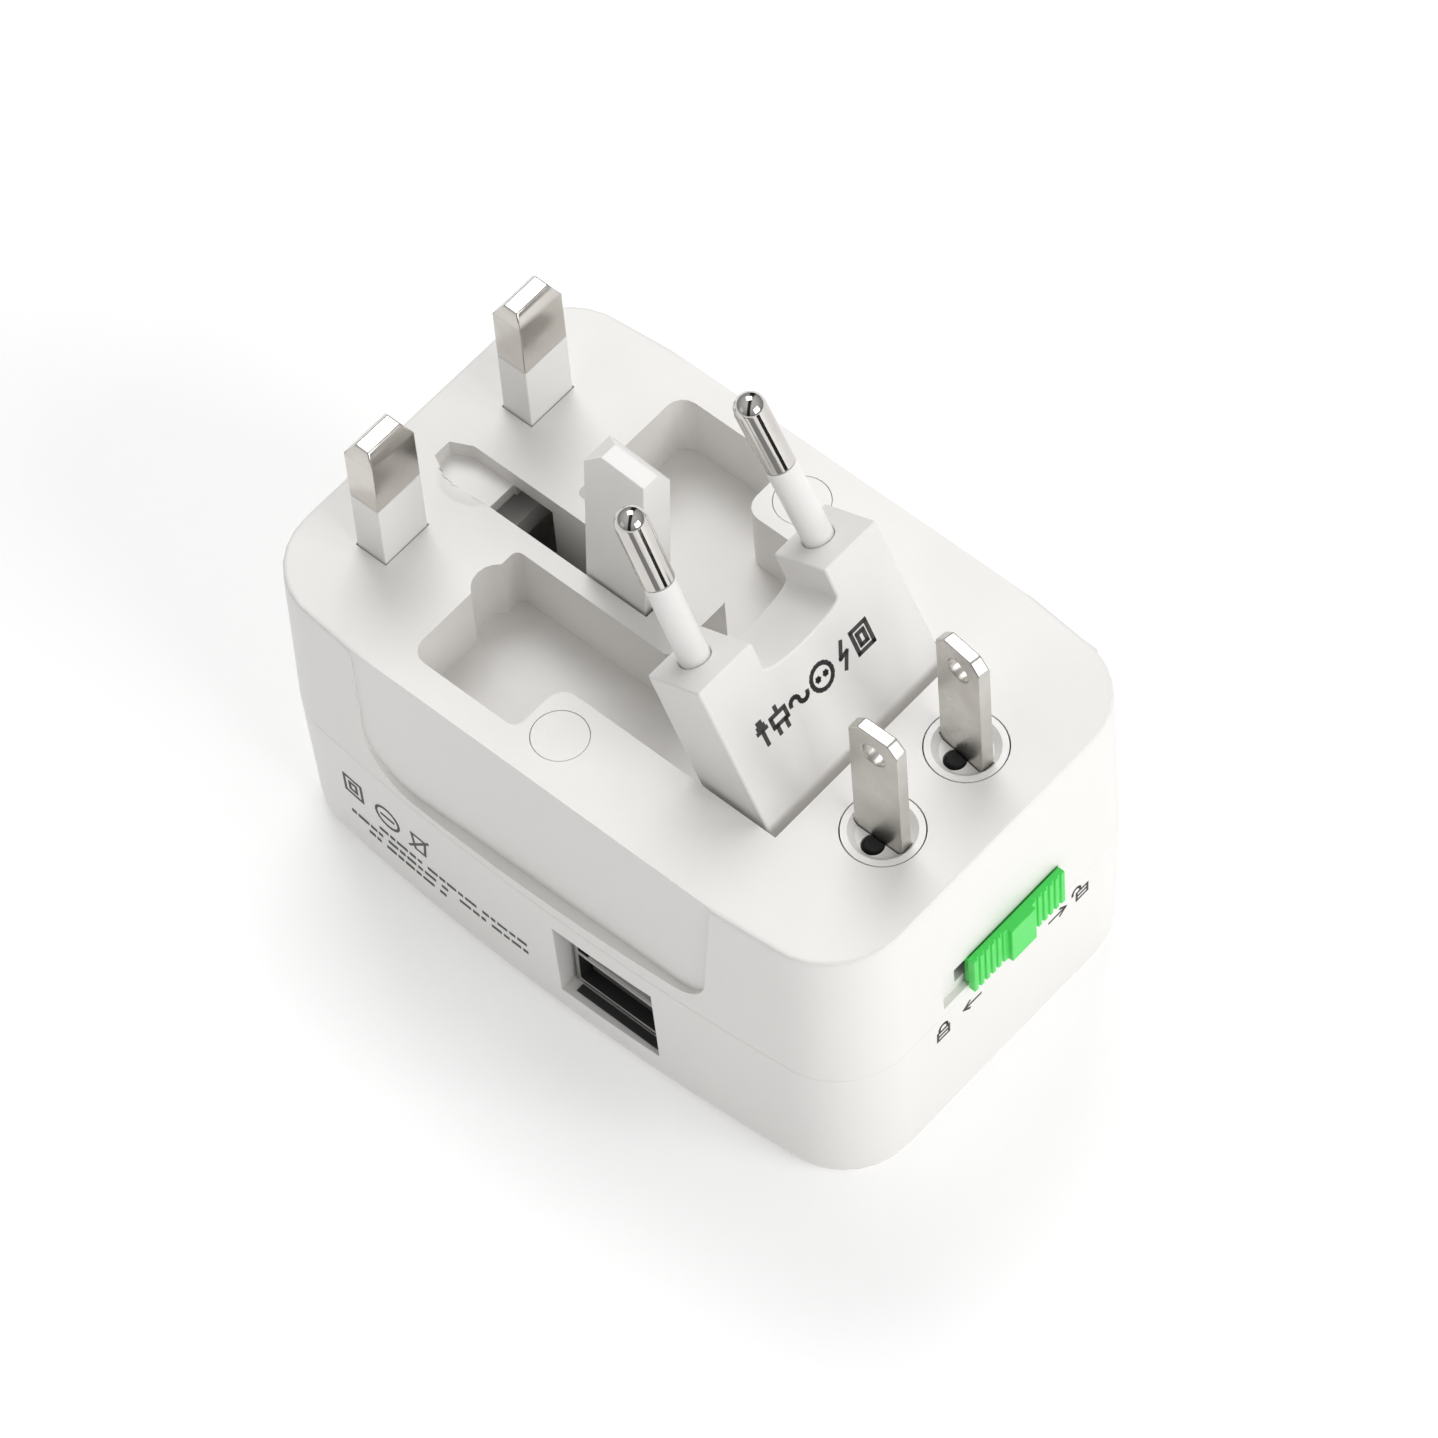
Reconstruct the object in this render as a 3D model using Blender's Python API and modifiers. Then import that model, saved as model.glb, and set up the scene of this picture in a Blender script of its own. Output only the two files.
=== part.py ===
"""Universal travel adapter: two casing halves around retractable UK and US/AU pins, a fold-out
round-pin block, a fold-down earth pin, a lock slider, a shuttered socket face and a USB supply.

Z points out of the plug face. The origin is the middle of the socket face, which is what the
adapter rests on. +X is the end with the lock slider, -Y the side with the USB sockets.
Every moving pin is modelled drawn out, as when a plug type is being chosen.
"""

import math

import bmesh
import bpy
from mathutils import Matrix, Vector

MM = 0.001
GAP = 0.3 * MM

# Casing
BODY_LENGTH = 80.2 * MM
BODY_WIDTH = 51.3 * MM
BODY_HEIGHT = 42.0 * MM
SIDE_BOW = 1.6 * MM
CORNER_RADIUS = 8.9 * MM
PARTING_Z = 20.0 * MM
TOP_DRAFT = 0.25 * MM
BASE_DRAFT = 0.5 * MM
BASE_FILLET = 2.0 * MM
TOP_FILLET = 0.5 * MM
WALL = 2.0 * MM
PLATE = 2.2 * MM
CAVITY_X = BODY_LENGTH / 2 - WALL
CAVITY_Y = 22.2 * MM

# Finger grips: a flat let into each bowed side
GRIP_Y = 24.25 * MM
GRIP_Z = 21.1 * MM
GRIP_LEFT_X = -25.0 * MM
GRIP_RIGHT_X = 23.6 * MM
GRIP_RIGHT_BASE_X = 22.0 * MM
GRIP_RISE = 1.4 * MM

# Recess that the round-pin block folds into
RECESS_FLOOR_Z = 33.2 * MM
RECESS_END_X = 22.9 * MM
RECESS_HALF_Y = 13.9 * MM
BAY_END_X = -20.2 * MM
BAY_START_X = -5.7 * MM
BAY_HALF_Y = 20.7 * MM
BAR_HALF_Y = 4.5 * MM
BAR_END_X = 0.5 * MM
BASIN_Z = 31.8 * MM
BASIN_WALL = 1.4 * MM
LOBE_RADIUS = 2.8 * MM
LOBE_X = -18.6 * MM
LOBE_Y = 9.1 * MM

# Round-pin (type C) block, in its own upright frame: pins up, lettered face to +X
EU_AXIS = Vector((18.45 * MM, 0, 37.8 * MM))
EU_LEAN = math.radians(-25.5)
EU_FACE = 4.2 * MM
EU_BACK = 3.6 * MM
EU_HEIGHT = 20.4 * MM
EU_HALF_Y = 13.4 * MM
EU_NOTCH_Z = 17.0 * MM
EU_NOTCH_HALF_Y = 5.5 * MM
EU_TROUGH_DEPTH = 1.1 * MM
EU_PIN_X = -0.6 * MM
EU_PIN_Y = 9.3 * MM
EU_PIN_TOP = 39.6 * MM
EU_PIN_RADIUS = 1.75 * MM
EU_SLEEVE_RADIUS = 1.67 * MM
EU_CORE_RADIUS = 1.2 * MM
EU_SLEEVE_TOP = 30.2 * MM
EU_SOCKET_Z = 15.0 * MM
EU_TOE_IN = math.radians(1.6)
AXLE_RADIUS = 1.0 * MM

# Plastic earth pin, in its own upright frame
EARTH_AXIS = Vector((-9.1 * MM, 0, 40.0 * MM))
EARTH_LEAN = math.radians(4.0)
EARTH_HALF_X = 4.0 * MM
EARTH_HALF_Y = 2.0 * MM
EARTH_SHOULDER = 22.6 * MM
EARTH_TIP = 25.6 * MM
# Chamfers of the tip: a name, the foot of the slope in X and Y, and its turn about X and about Y
EARTH_CHAMFERS = (
    ("uk_side", -EARTH_HALF_X, 0.0, 0.0, math.radians(-52)),
    ("far", 0.0, EARTH_HALF_Y, math.radians(-58), 0.0),
)
EARTH_AXLE_RADIUS = 0.9 * MM
GROOVE_HALF_Y = 2.3 * MM
GROOVE_START_X = -27.0 * MM
GROOVE_END_X = -4.5 * MM
SHELF_Z = 39.8 * MM
SHELF_TIP_X = -34.6 * MM

# UK line and neutral pins on their carriage
UK_X = -31.3 * MM
UK_Y = 11.1 * MM
UK_PIN = (3.95 * MM, 6.35 * MM)
UK_CORE = (2.6 * MM, 4.6 * MM)
UK_PIN_TOP = 59.7 * MM
UK_CHAMFER = 1.6 * MM
UK_CROWN = (1.1 * MM, 0.8 * MM)
UK_CLEARANCE = 0.12 * MM
UK_SLEEVE_TOP = 51.0 * MM

# US/AU blades, each in a rotor on the US carriage
US_X = 30.5 * MM
US_Y = 6.4 * MM
US_BLADE = (6.35 * MM, 1.5 * MM)
US_BLADE_TOP = 59.6 * MM
US_BLADE_HOLE = 1.45 * MM
ROTOR_RADIUS = 4.3 * MM
ROTOR_CLEARANCE = 0.15 * MM
ROTOR_BASE_Z = 36.0 * MM
ROTOR_DISH_RADIUS = 3.7 * MM
ROTOR_DISH_DEPTH = 0.9 * MM
ROTOR_WELL_RADIUS = 1.25 * MM
ROTOR_WELL_Y = -1.6 * MM
REAR_BLADE_TURN = math.radians(-7.0)

# Carriages and their thumb knobs
CARRIAGE_Z = (32.6 * MM, 35.7 * MM)
TRAVEL = 17.7 * MM
KNOB_X = 28.5 * MM
KNOB_SLOT_HALF_X = 1.5 * MM
KNOB_Z = 34.15 * MM
ARM_END_Y = 21.2 * MM

# Lock slider
LOCK_Z = (21.0 * MM, 26.6 * MM)
LOCK_Y = (-5.6 * MM, 8.6 * MM)
LOCK_TRAVEL = 3.6 * MM
LOCK_TRACK_DEPTH = 0.8 * MM

# Casing screws under round caps
SCREW_X = -1.7 * MM
SCREW_Y = 18.5 * MM
CAP_RADIUS = 3.1 * MM

# Socket face
FACE_CENTRE_X = 1.0 * MM
FACE_HALF = (20.0 * MM, 17.6 * MM)
LIVE_X = -10.0 * MM
EARTH_SOCKET_X = 12.2 * MM

# USB opening
USB_X = (1.2 * MM, 14.4 * MM)
USB_Z = (4.9 * MM, 17.1 * MM)

# Red power light beside the socket face
LIGHT_X = 27.0 * MM
LIGHT_RADIUS = 1.35 * MM

OFF_WHITE = (0.83, 0.82, 0.80)
GREEN = (0.06, 0.72, 0.10)
NICKEL = (0.66, 0.64, 0.60)
BRASS = (0.78, 0.60, 0.30)
STEEL = (0.55, 0.55, 0.56)
BLACK = (0.02, 0.02, 0.02)
DARK_GREY = (0.12, 0.12, 0.12)
BOARD_GREEN = (0.03, 0.22, 0.10)
TAPE_YELLOW = (0.80, 0.62, 0.12)
CLEAR_RED = (0.75, 0.08, 0.05)


# ---------------------------------------------------------------- tools


def clear_scene():
    for obj in list(bpy.data.objects):
        bpy.data.objects.remove(obj)


def new_collection(name):
    collection = bpy.data.collections.new(name)
    bpy.context.scene.collection.children.link(collection)
    return collection


def material(name, colour, roughness, metallic):
    made = bpy.data.materials.new(name)
    made.use_nodes = True
    shader = made.node_tree.nodes["Principled BSDF"]
    shader.inputs["Base Color"].default_value = (*colour, 1)
    shader.inputs["Roughness"].default_value = roughness
    shader.inputs["Metallic"].default_value = metallic
    made.diffuse_color = (*colour, 1)
    return made


def add_object(name, mesh):
    obj = bpy.data.objects.new(name, mesh)
    PARTS.objects.link(obj)
    return obj


def from_bmesh(name, bm):
    mesh = bpy.data.meshes.new(name)
    bm.to_mesh(mesh)
    bm.free()
    return add_object(name, mesh)


def box(name, low, high):
    bm = bmesh.new()
    size = Vector(high) - Vector(low)
    centre = (Vector(high) + Vector(low)) / 2
    place = Matrix.Translation(centre) @ Matrix.Diagonal((*size, 1))
    bmesh.ops.create_cube(bm, size=1, matrix=place)
    return from_bmesh(name, bm)


def tiered(name, x, y, tiers):
    """A rectangular bar built up through (half_x, half_y, z) levels, lowest first."""
    bm = bmesh.new()
    rings = []
    for half_x, half_y, z in tiers:
        corners = ((-half_x, -half_y), (half_x, -half_y), (half_x, half_y), (-half_x, half_y))
        rings.append([bm.verts.new((x + dx, y + dy, z)) for dx, dy in corners])
    bm.faces.new(rings[0][::-1])
    bm.faces.new(rings[-1])
    for lower, upper in zip(rings, rings[1:]):
        for i in range(4):
            j = (i + 1) % 4
            bm.faces.new((lower[i], lower[j], upper[j], upper[i]))
    return from_bmesh(name, bm)


def rod(name, start, end, radius, end_radius=None, segments=24):
    """A round bar or cone between two points."""
    start = Vector(start)
    along = Vector(end) - start
    turn = along.to_track_quat("Z", "Y").to_matrix().to_4x4()
    bm = bmesh.new()
    bmesh.ops.create_cone(
        bm,
        cap_ends=True,
        segments=segments,
        radius1=radius,
        radius2=radius if end_radius is None else end_radius,
        depth=along.length,
        matrix=Matrix.Translation(start + along / 2) @ turn,
    )
    obj = from_bmesh(name, bm)
    obj.data.shade_smooth()
    obj.data.set_sharp_from_angle(angle=math.radians(35))
    return obj


def arc(x, y, radius, start, end, steps):
    """Points on a circle, from one angle to another in degrees."""
    points = []
    for step in range(steps + 1):
        angle = math.radians(start + (end - start) * step / steps)
        points.append((x + radius * math.cos(angle), y + radius * math.sin(angle)))
    return points


def rounded_rectangle(x, y, half_x, half_y, radius, steps=5):
    points = []
    for side_x, side_y, start in ((1, 1, 0), (-1, 1, 90), (-1, -1, 180), (1, -1, 270)):
        corner_x = x + side_x * (half_x - radius)
        corner_y = y + side_y * (half_y - radius)
        points += arc(corner_x, corner_y, radius, start, start + 90, steps)
    return points


def plate(name, outline, low, high, upright=False):
    """A flat outline given a thickness from low to high along Z or, upright, an XZ outline along Y."""
    curve = bpy.data.curves.new(name, "CURVE")
    curve.dimensions = "2D"
    curve.fill_mode = "BOTH"
    curve.extrude = (high - low) / 2
    spline = curve.splines.new("POLY")
    spline.points.add(len(outline) - 1)
    for point, (x, y) in zip(spline.points, outline):
        point.co = (x, y, 0, 1)
    spline.use_cyclic_u = True
    guide = bpy.data.objects.new(name + "_outline", curve)
    PARTS.objects.link(guide)
    if upright:
        guide.rotation_euler = (math.pi / 2, 0, 0)
        guide.location.y = (low + high) / 2
    else:
        guide.location.z = (low + high) / 2
    bpy.context.view_layer.update()
    mesh = bpy.data.meshes.new_from_object(guide.evaluated_get(bpy.context.evaluated_depsgraph_get()))
    mesh.transform(guide.matrix_world)
    bpy.data.objects.remove(guide)
    bm = bmesh.new()
    bm.from_mesh(mesh)
    bmesh.ops.remove_doubles(bm, verts=bm.verts, dist=1e-6)
    bmesh.ops.dissolve_limit(bm, angle_limit=math.radians(1), verts=bm.verts, edges=bm.edges)
    bmesh.ops.recalc_face_normals(bm, faces=bm.faces)
    bpy.data.meshes.remove(mesh)
    obj = from_bmesh(name, bm)
    obj.data.shade_smooth()
    obj.data.set_sharp_from_angle(angle=math.radians(35))
    return obj


def round_rim(obj, z, width, segments):
    """Rounds the outer edges that lie at one height."""
    bm = bmesh.new()
    bm.from_mesh(obj.data)
    rim = [e for e in bm.edges if all(abs(v.co.z - z) < 1e-6 for v in e.verts)]
    bmesh.ops.bevel(bm, geom=rim, offset=width, segments=segments, profile=0.5, affect="EDGES")
    bm.to_mesh(obj.data)
    bm.free()


def as_tool(obj):
    """Moves a shape that only cuts or joins to the tools' collection."""
    PARTS.objects.unlink(obj)
    TOOLS.objects.link(obj)
    obj.hide_render = True
    obj.display_type = "WIRE"
    return obj


def combine(target, operation, tools):
    for tool in tools:
        as_tool(tool)
        modifier = target.modifiers.new(tool.name, "BOOLEAN")
        modifier.operation = operation
        modifier.solver = "EXACT"
        modifier.object = tool


def cut(target, *tools):
    combine(target, "DIFFERENCE", tools)


def join(target, *tools):
    combine(target, "UNION", tools)


def finish(obj, paint, pivot=None):
    """Gives a piece its material and, if it moves on a pivot, its parent."""
    obj.data.materials.append(paint)
    if pivot:
        obj.parent = pivot
    return obj


def pivot_at(name, location, turn_y=0.0, turn_z=0.0):
    empty = bpy.data.objects.new(name, None)
    PARTS.objects.link(empty)
    empty.location = location
    empty.rotation_euler = (0, turn_y, turn_z)
    empty.empty_display_size = 5 * MM
    return empty


# ---------------------------------------------------------------- outlines


def body_outline():
    """Casing in plan: straight ends, round corners and long sides bowed out."""
    corner_x = BODY_LENGTH / 2 - CORNER_RADIUS
    corner_y = BODY_WIDTH / 2 - SIDE_BOW - CORNER_RADIUS
    side_y = BODY_WIDTH / 2 - SIDE_BOW
    steps = 10
    half = arc(corner_x, corner_y, CORNER_RADIUS, 0, 90, 7)
    for step in range(1, steps):
        x = corner_x * (1 - 2 * step / steps)
        half.append((x, side_y + SIDE_BOW * (1 - (x / corner_x) ** 2)))
    half += arc(-corner_x, corner_y, CORNER_RADIUS, 90, 180, 7)
    return half + [(-x, -y) for x, y in half]


def recess_outline():
    """Recess of the round-pin block: a wide bay each side of the middle bar, then the block's place."""
    peninsula = 2.0 * MM
    inner = 1.2 * MM
    outer = 2.0 * MM
    small = 0.8 * MM
    mouth = math.degrees(math.acos((LOBE_X - BAY_END_X) / LOBE_RADIUS))
    upper = [(RECESS_END_X, RECESS_HALF_Y)]
    upper += arc(BAY_START_X + peninsula, RECESS_HALF_Y + peninsula, peninsula, 270, 180, 4)
    upper += arc(BAY_START_X - inner, BAY_HALF_Y - inner, inner, 0, 90, 3)
    upper += arc(BAY_END_X + outer, BAY_HALF_Y - outer, outer, 90, 180, 4)
    upper += arc(LOBE_X, LOBE_Y, LOBE_RADIUS, 180 - mouth, 180 + mouth, 6)
    upper += arc(BAY_END_X + small, BAR_HALF_Y + small, small, 180, 270, 3)
    upper += arc(BAR_END_X - small, BAR_HALF_Y - small, small, 90, 0, 3)
    return upper + [(x, -y) for x, y in reversed(upper)]


def grip_outline():
    """Finger grip seen from the side: wide corner at the UK end, slanted and higher at the other."""
    top = BODY_HEIGHT + MM
    wide = 7.0 * MM
    tight = 4.4 * MM
    points = [(GRIP_RIGHT_X, top), (GRIP_LEFT_X, top)]
    points += arc(GRIP_LEFT_X + wide, GRIP_Z + wide, wide, 180, 270, 7)
    points += arc(GRIP_RIGHT_BASE_X - tight, GRIP_Z + GRIP_RISE + tight, tight, 272, 354, 6)
    return points


# ---------------------------------------------------------------- casing


def scale_ring(obj, z, inset):
    """Draws the vertices at one height in, for the mould's draft."""
    factor_x = 1 - 2 * inset / BODY_LENGTH
    factor_y = 1 - 2 * inset / BODY_WIDTH
    for vertex in obj.data.vertices:
        if abs(vertex.co.z - z) < 1e-6:
            vertex.co.x *= factor_x
            vertex.co.y *= factor_y


def knob_slots():
    low_z = KNOB_Z - TRAVEL - 1.5 * MM
    high_z = KNOB_Z + 1.5 * MM
    slots = []
    for name, x in (("uk", -KNOB_X), ("us", KNOB_X)):
        low = (x - KNOB_SLOT_HALF_X, CAVITY_Y - MM, low_z)
        high = (x + KNOB_SLOT_HALF_X, BODY_WIDTH / 2 + MM, high_z)
        slots.append(box(name + "_knob_slot", low, high))
    return slots


def make_plug_shell():
    base = PARTING_Z + GAP / 2
    shell = plate("plug_shell", body_outline(), base, BODY_HEIGHT)
    scale_ring(shell, BODY_HEIGHT, TOP_DRAFT)
    round_rim(shell, BODY_HEIGHT, TOP_FILLET, 2)
    cavity = rounded_rectangle(0, 0, CAVITY_X, CAVITY_Y, 7 * MM)
    cut(shell, plate("plug_cavity", cavity, base - MM, BODY_HEIGHT - PLATE))
    bays_low = (BAY_END_X - BASIN_WALL, -CAVITY_Y - MM / 2, BASIN_Z)
    bays_high = (BAY_START_X + BASIN_WALL, CAVITY_Y + MM / 2, BODY_HEIGHT - MM)
    place_low = (BAY_START_X, -RECESS_HALF_Y - BASIN_WALL, BASIN_Z)
    place_high = (RECESS_END_X + BASIN_WALL, RECESS_HALF_Y + BASIN_WALL, BODY_HEIGHT - MM)
    join(shell, box("basin_bays", bays_low, bays_high), box("basin_place", place_low, place_high))
    lobe_reach = LOBE_RADIUS + BASIN_WALL
    for side, name in ((-1, "near"), (1, "far")):
        low = (LOBE_X - lobe_reach, side * LOBE_Y - lobe_reach, BASIN_Z)
        high = (LOBE_X, side * LOBE_Y + lobe_reach, BODY_HEIGHT - MM)
        join(shell, box(f"basin_lobe_{name}", low, high))
        foot = (SCREW_X, side * SCREW_Y, base)
        head = (SCREW_X, side * SCREW_Y, BODY_HEIGHT - MM)
        join(shell, rod(f"screw_boss_{name}", foot, head, 4.2 * MM, segments=28))
    shelf_low = (SHELF_TIP_X - MM, -4 * MM, SHELF_Z - 1.6 * MM)
    shelf_high = (GROOVE_START_X + 0.3 * MM, 4 * MM, BODY_HEIGHT - MM)
    join(shell, box("shelf_backing", shelf_low, shelf_high))
    cut(shell, plate("recess", recess_outline(), RECESS_FLOOR_Z, BODY_HEIGHT + MM))
    groove_low = (GROOVE_START_X, -GROOVE_HALF_Y, BASIN_Z - MM)
    groove_high = (GROOVE_END_X, GROOVE_HALF_Y, BODY_HEIGHT + MM)
    cut(shell, box("earth_groove", groove_low, groove_high))
    shelf = [
        (GROOVE_START_X + MM, GROOVE_HALF_Y),
        (SHELF_TIP_X + 2.4 * MM, GROOVE_HALF_Y),
        (SHELF_TIP_X, GROOVE_HALF_Y - 1.2 * MM),
        (SHELF_TIP_X, 1.2 * MM - GROOVE_HALF_Y),
        (SHELF_TIP_X + 2.4 * MM, -GROOVE_HALF_Y),
        (GROOVE_START_X + MM, -GROOVE_HALF_Y),
    ]
    cut(shell, plate("earth_shelf", shelf, SHELF_Z, BODY_HEIGHT + MM))
    bore = (EARTH_AXIS.x, 3.9 * MM, EARTH_AXIS.z)
    bore_end = (EARTH_AXIS.x, -3.9 * MM, EARTH_AXIS.z)
    cut(shell, rod("earth_axle_bore", bore, bore_end, EARTH_AXLE_RADIUS + 0.15 * MM))
    block_bore = (EU_AXIS.x, 16 * MM, EU_AXIS.z)
    block_bore_end = (EU_AXIS.x, -16 * MM, EU_AXIS.z)
    cut(shell, rod("block_axle_bore", block_bore, block_bore_end, AXLE_RADIUS + 0.15 * MM))
    for side, name in ((-1, "near"), (1, "far")):
        top = BODY_HEIGHT + MM
        rotor_low = (US_X, side * US_Y, BODY_HEIGHT - 2 * PLATE)
        rotor_high = (US_X, side * US_Y, top)
        hole_radius = ROTOR_RADIUS + ROTOR_CLEARANCE
        cut(shell, rod(f"rotor_hole_{name}", rotor_low, rotor_high, hole_radius, segments=40))
        half_x = UK_PIN[0] / 2 + UK_CLEARANCE
        half_y = UK_PIN[1] / 2 + UK_CLEARANCE
        pin_low = (UK_X - half_x, side * UK_Y - half_y, BODY_HEIGHT - 2 * PLATE)
        cut(shell, box(f"uk_hole_{name}", pin_low, (UK_X + half_x, side * UK_Y + half_y, top)))
        seat = (SCREW_X, side * SCREW_Y, 36 * MM)
        mouth = (SCREW_X, side * SCREW_Y, top)
        cut(shell, rod(f"screw_seat_{name}", seat, mouth, CAP_RADIUS, segments=32))
        foot = (SCREW_X, side * SCREW_Y, base - MM)
        cut(shell, rod(f"screw_bore_{name}", foot, mouth, 1.8 * MM, segments=20))
        if side < 0:
            cut(shell, plate("grip_near", grip_outline(), -30 * MM, -GRIP_Y, upright=True))
        else:
            cut(shell, plate("grip_far", grip_outline(), GRIP_Y, 30 * MM, upright=True))
    cut(shell, *knob_slots())
    track_low = (BODY_LENGTH / 2 - LOCK_TRACK_DEPTH, LOCK_Y[0] - LOCK_TRAVEL, LOCK_Z[0] + 0.2 * MM)
    track_high = (BODY_LENGTH / 2 + MM, LOCK_Y[1] + 0.2 * MM, LOCK_Z[1] - 0.2 * MM)
    slot_low = (CAVITY_X - MM, LOCK_Y[0] - LOCK_TRAVEL + 2.6 * MM, 22.4 * MM)
    slot_high = (BODY_LENGTH / 2 + MM, LOCK_Y[1] - 2.4 * MM, 25.0 * MM)
    cut(shell, box("lock_track", track_low, track_high), box("lock_slot", slot_low, slot_high))
    finish(shell, material("casing_white_upper", OFF_WHITE, 0.42, 0))


def make_socket_shell():
    top = PARTING_Z - GAP / 2
    shell = plate("socket_shell", body_outline(), 0, top)
    scale_ring(shell, 0, BASE_DRAFT)
    round_rim(shell, 0, BASE_FILLET, 3)
    cavity = rounded_rectangle(0, 0, CAVITY_X - BASE_DRAFT, CAVITY_Y, 7 * MM)
    cut(shell, plate("socket_cavity", cavity, WALL, top + MM))
    for side, name in ((-1, "near"), (1, "far")):
        foot = (SCREW_X, side * SCREW_Y, 6 * MM)
        head = (SCREW_X, side * SCREW_Y, top)
        join(shell, rod(f"lower_boss_{name}", foot, head, 3 * MM, segments=24))
        rib_low = (SCREW_X - MM, min(side * SCREW_Y, side * 23 * MM), 6 * MM)
        rib_high = (SCREW_X + MM, max(side * SCREW_Y, side * 23 * MM), top - MM)
        join(shell, box(f"boss_rib_{name}", rib_low, rib_high))
        pilot = (SCREW_X, side * SCREW_Y, 9 * MM)
        mouth = (SCREW_X, side * SCREW_Y, top + MM)
        cut(shell, rod(f"pilot_{name}", pilot, mouth, 1.7 * MM, segments=20))
    face = rounded_rectangle(FACE_CENTRE_X, 0, FACE_HALF[0] + GAP, FACE_HALF[1] + GAP, 6 * MM)
    cut(shell, plate("face_window", face, -MM, WALL + MM))
    cut(shell, rod("light_hole", (LIGHT_X, 0, -MM), (LIGHT_X, 0, WALL + MM), LIGHT_RADIUS + GAP))
    usb_low = (USB_X[0], -BODY_WIDTH / 2 - MM, USB_Z[0])
    usb_high = (USB_X[1], -CAVITY_Y + MM, USB_Z[1])
    cut(shell, box("usb_window", usb_low, usb_high))
    cut(shell, *knob_slots())
    finish(shell, material("casing_white_lower", OFF_WHITE, 0.42, 0))


def live_aperture(name, side, low_z, high_z, grow=0.0):
    """One universal aperture: a wide pocket for round and square pins, and a slot for flat ones."""
    pocket_low = (LIVE_X - 2.5 * MM - grow, 7.2 * MM - grow, low_z)
    pocket_high = (LIVE_X + 2.5 * MM + grow, 14.9 * MM + grow, high_z)
    slot_low = (LIVE_X - 3.8 * MM - grow, 5.4 * MM - grow, low_z)
    slot_high = (LIVE_X + 3.8 * MM + grow, 7.4 * MM + grow, high_z)
    shapes = []
    for part, low, high in (("pocket", pocket_low, pocket_high), ("slot", slot_low, slot_high)):
        near, far = sorted((side * low[1], side * high[1]))
        shapes.append(box(f"{name}_{part}", (low[0], near, low[2]), (high[0], far, high[2])))
    return shapes


def make_socket_face():
    flange = 1.5 * MM
    face = plate(
        "socket_face",
        rounded_rectangle(FACE_CENTRE_X, 0, FACE_HALF[0], FACE_HALF[1], 6 * MM),
        0,
        2.8 * MM,
    )
    rim = rounded_rectangle(FACE_CENTRE_X, 0, FACE_HALF[0] + flange, FACE_HALF[1] + flange, 7 * MM)
    join(face, plate("face_flange", rim, WALL + GAP, 3.4 * MM))
    for side, name in ((-1, "near"), (1, "far")):
        cut(face, *live_aperture(f"aperture_{name}", side, -MM, 5 * MM))
    earth_low = (EARTH_SOCKET_X - 4.4 * MM, -2.4 * MM, -MM)
    earth_high = (EARTH_SOCKET_X + 4.4 * MM, 2.4 * MM, 5 * MM)
    cut(face, box("earth_aperture", earth_low, earth_high))
    finish(face, material("socket_face_white", OFF_WHITE, 0.5, 0))


def make_shutter():
    """A sliding shutter behind the live apertures, with its return spring."""
    shutter = box("shutter", (-15.4 * MM, -16 * MM, 3.8 * MM), (-6.4 * MM, 16 * MM, 5.0 * MM))
    bar = box("shutter_bar", (-7 * MM, -2 * MM, 3.8 * MM), (1 * MM, 2 * MM, 5.0 * MM))
    join(shutter, bar)
    finish(shutter, material("shutter_red", CLEAR_RED, 0.5, 0))
    coil_radius = 0.9 * MM
    wire = 0.18 * MM
    turns = 5
    start_x = 1.4 * MM
    length = 5.4 * MM
    curve = bpy.data.curves.new("shutter_spring", "CURVE")
    curve.dimensions = "3D"
    curve.bevel_depth = wire
    curve.bevel_resolution = 1
    curve.use_fill_caps = True
    steps = turns * 10
    spline = curve.splines.new("POLY")
    spline.points.add(steps)
    for step, point in enumerate(spline.points):
        angle = math.tau * turns * step / steps
        x = start_x + length * step / steps
        point.co = (x, coil_radius * math.cos(angle), 4.75 * MM + coil_radius * math.sin(angle), 1)
    spring = bpy.data.objects.new("shutter_spring", curve)
    PARTS.objects.link(spring)
    finish(spring, material("spring_steel_coil", STEEL, 0.3, 1))


def make_contacts():
    """Spring jaws of nickelled brass under each socket aperture."""
    brass = material("contact_brass", BRASS, 0.35, 1)
    sheet = 0.6 * MM
    for name, side in (("line_contact", 1), ("neutral_contact", -1)):
        jaw_low = (-14 * MM, side * 10 * MM - 5 * MM, 5.6 * MM)
        jaw_high = (-6 * MM, side * 10 * MM + 5 * MM, 13 * MM)
        jaw = box(name, jaw_low, jaw_high)
        hollow_low = (-15 * MM, side * 10 * MM - 5 * MM + sheet, 5 * MM)
        hollow_high = (-5 * MM, side * 10 * MM + 5 * MM - sheet, 13 * MM - sheet)
        cut(jaw, box(name + "_mouth", hollow_low, hollow_high))
        tail_low = (-24 * MM, side * 10 * MM - 2 * MM, 13 * MM - sheet)
        tail_high = (-13.5 * MM, side * 10 * MM + 2 * MM, 13 * MM)
        join(jaw, box(name + "_tail", tail_low, tail_high))
        finish(jaw, brass)
    earth = box("earth_contact", (8 * MM, -4 * MM, 5.6 * MM), (16.4 * MM, 4 * MM, 13 * MM))
    mouth_low = (7 * MM, -4 * MM + sheet, 5 * MM)
    mouth_high = (17 * MM, 4 * MM - sheet, 13 * MM - sheet)
    cut(earth, box("earth_contact_mouth", mouth_low, mouth_high))
    finish(earth, brass)


# ---------------------------------------------------------------- screws and caps


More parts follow.
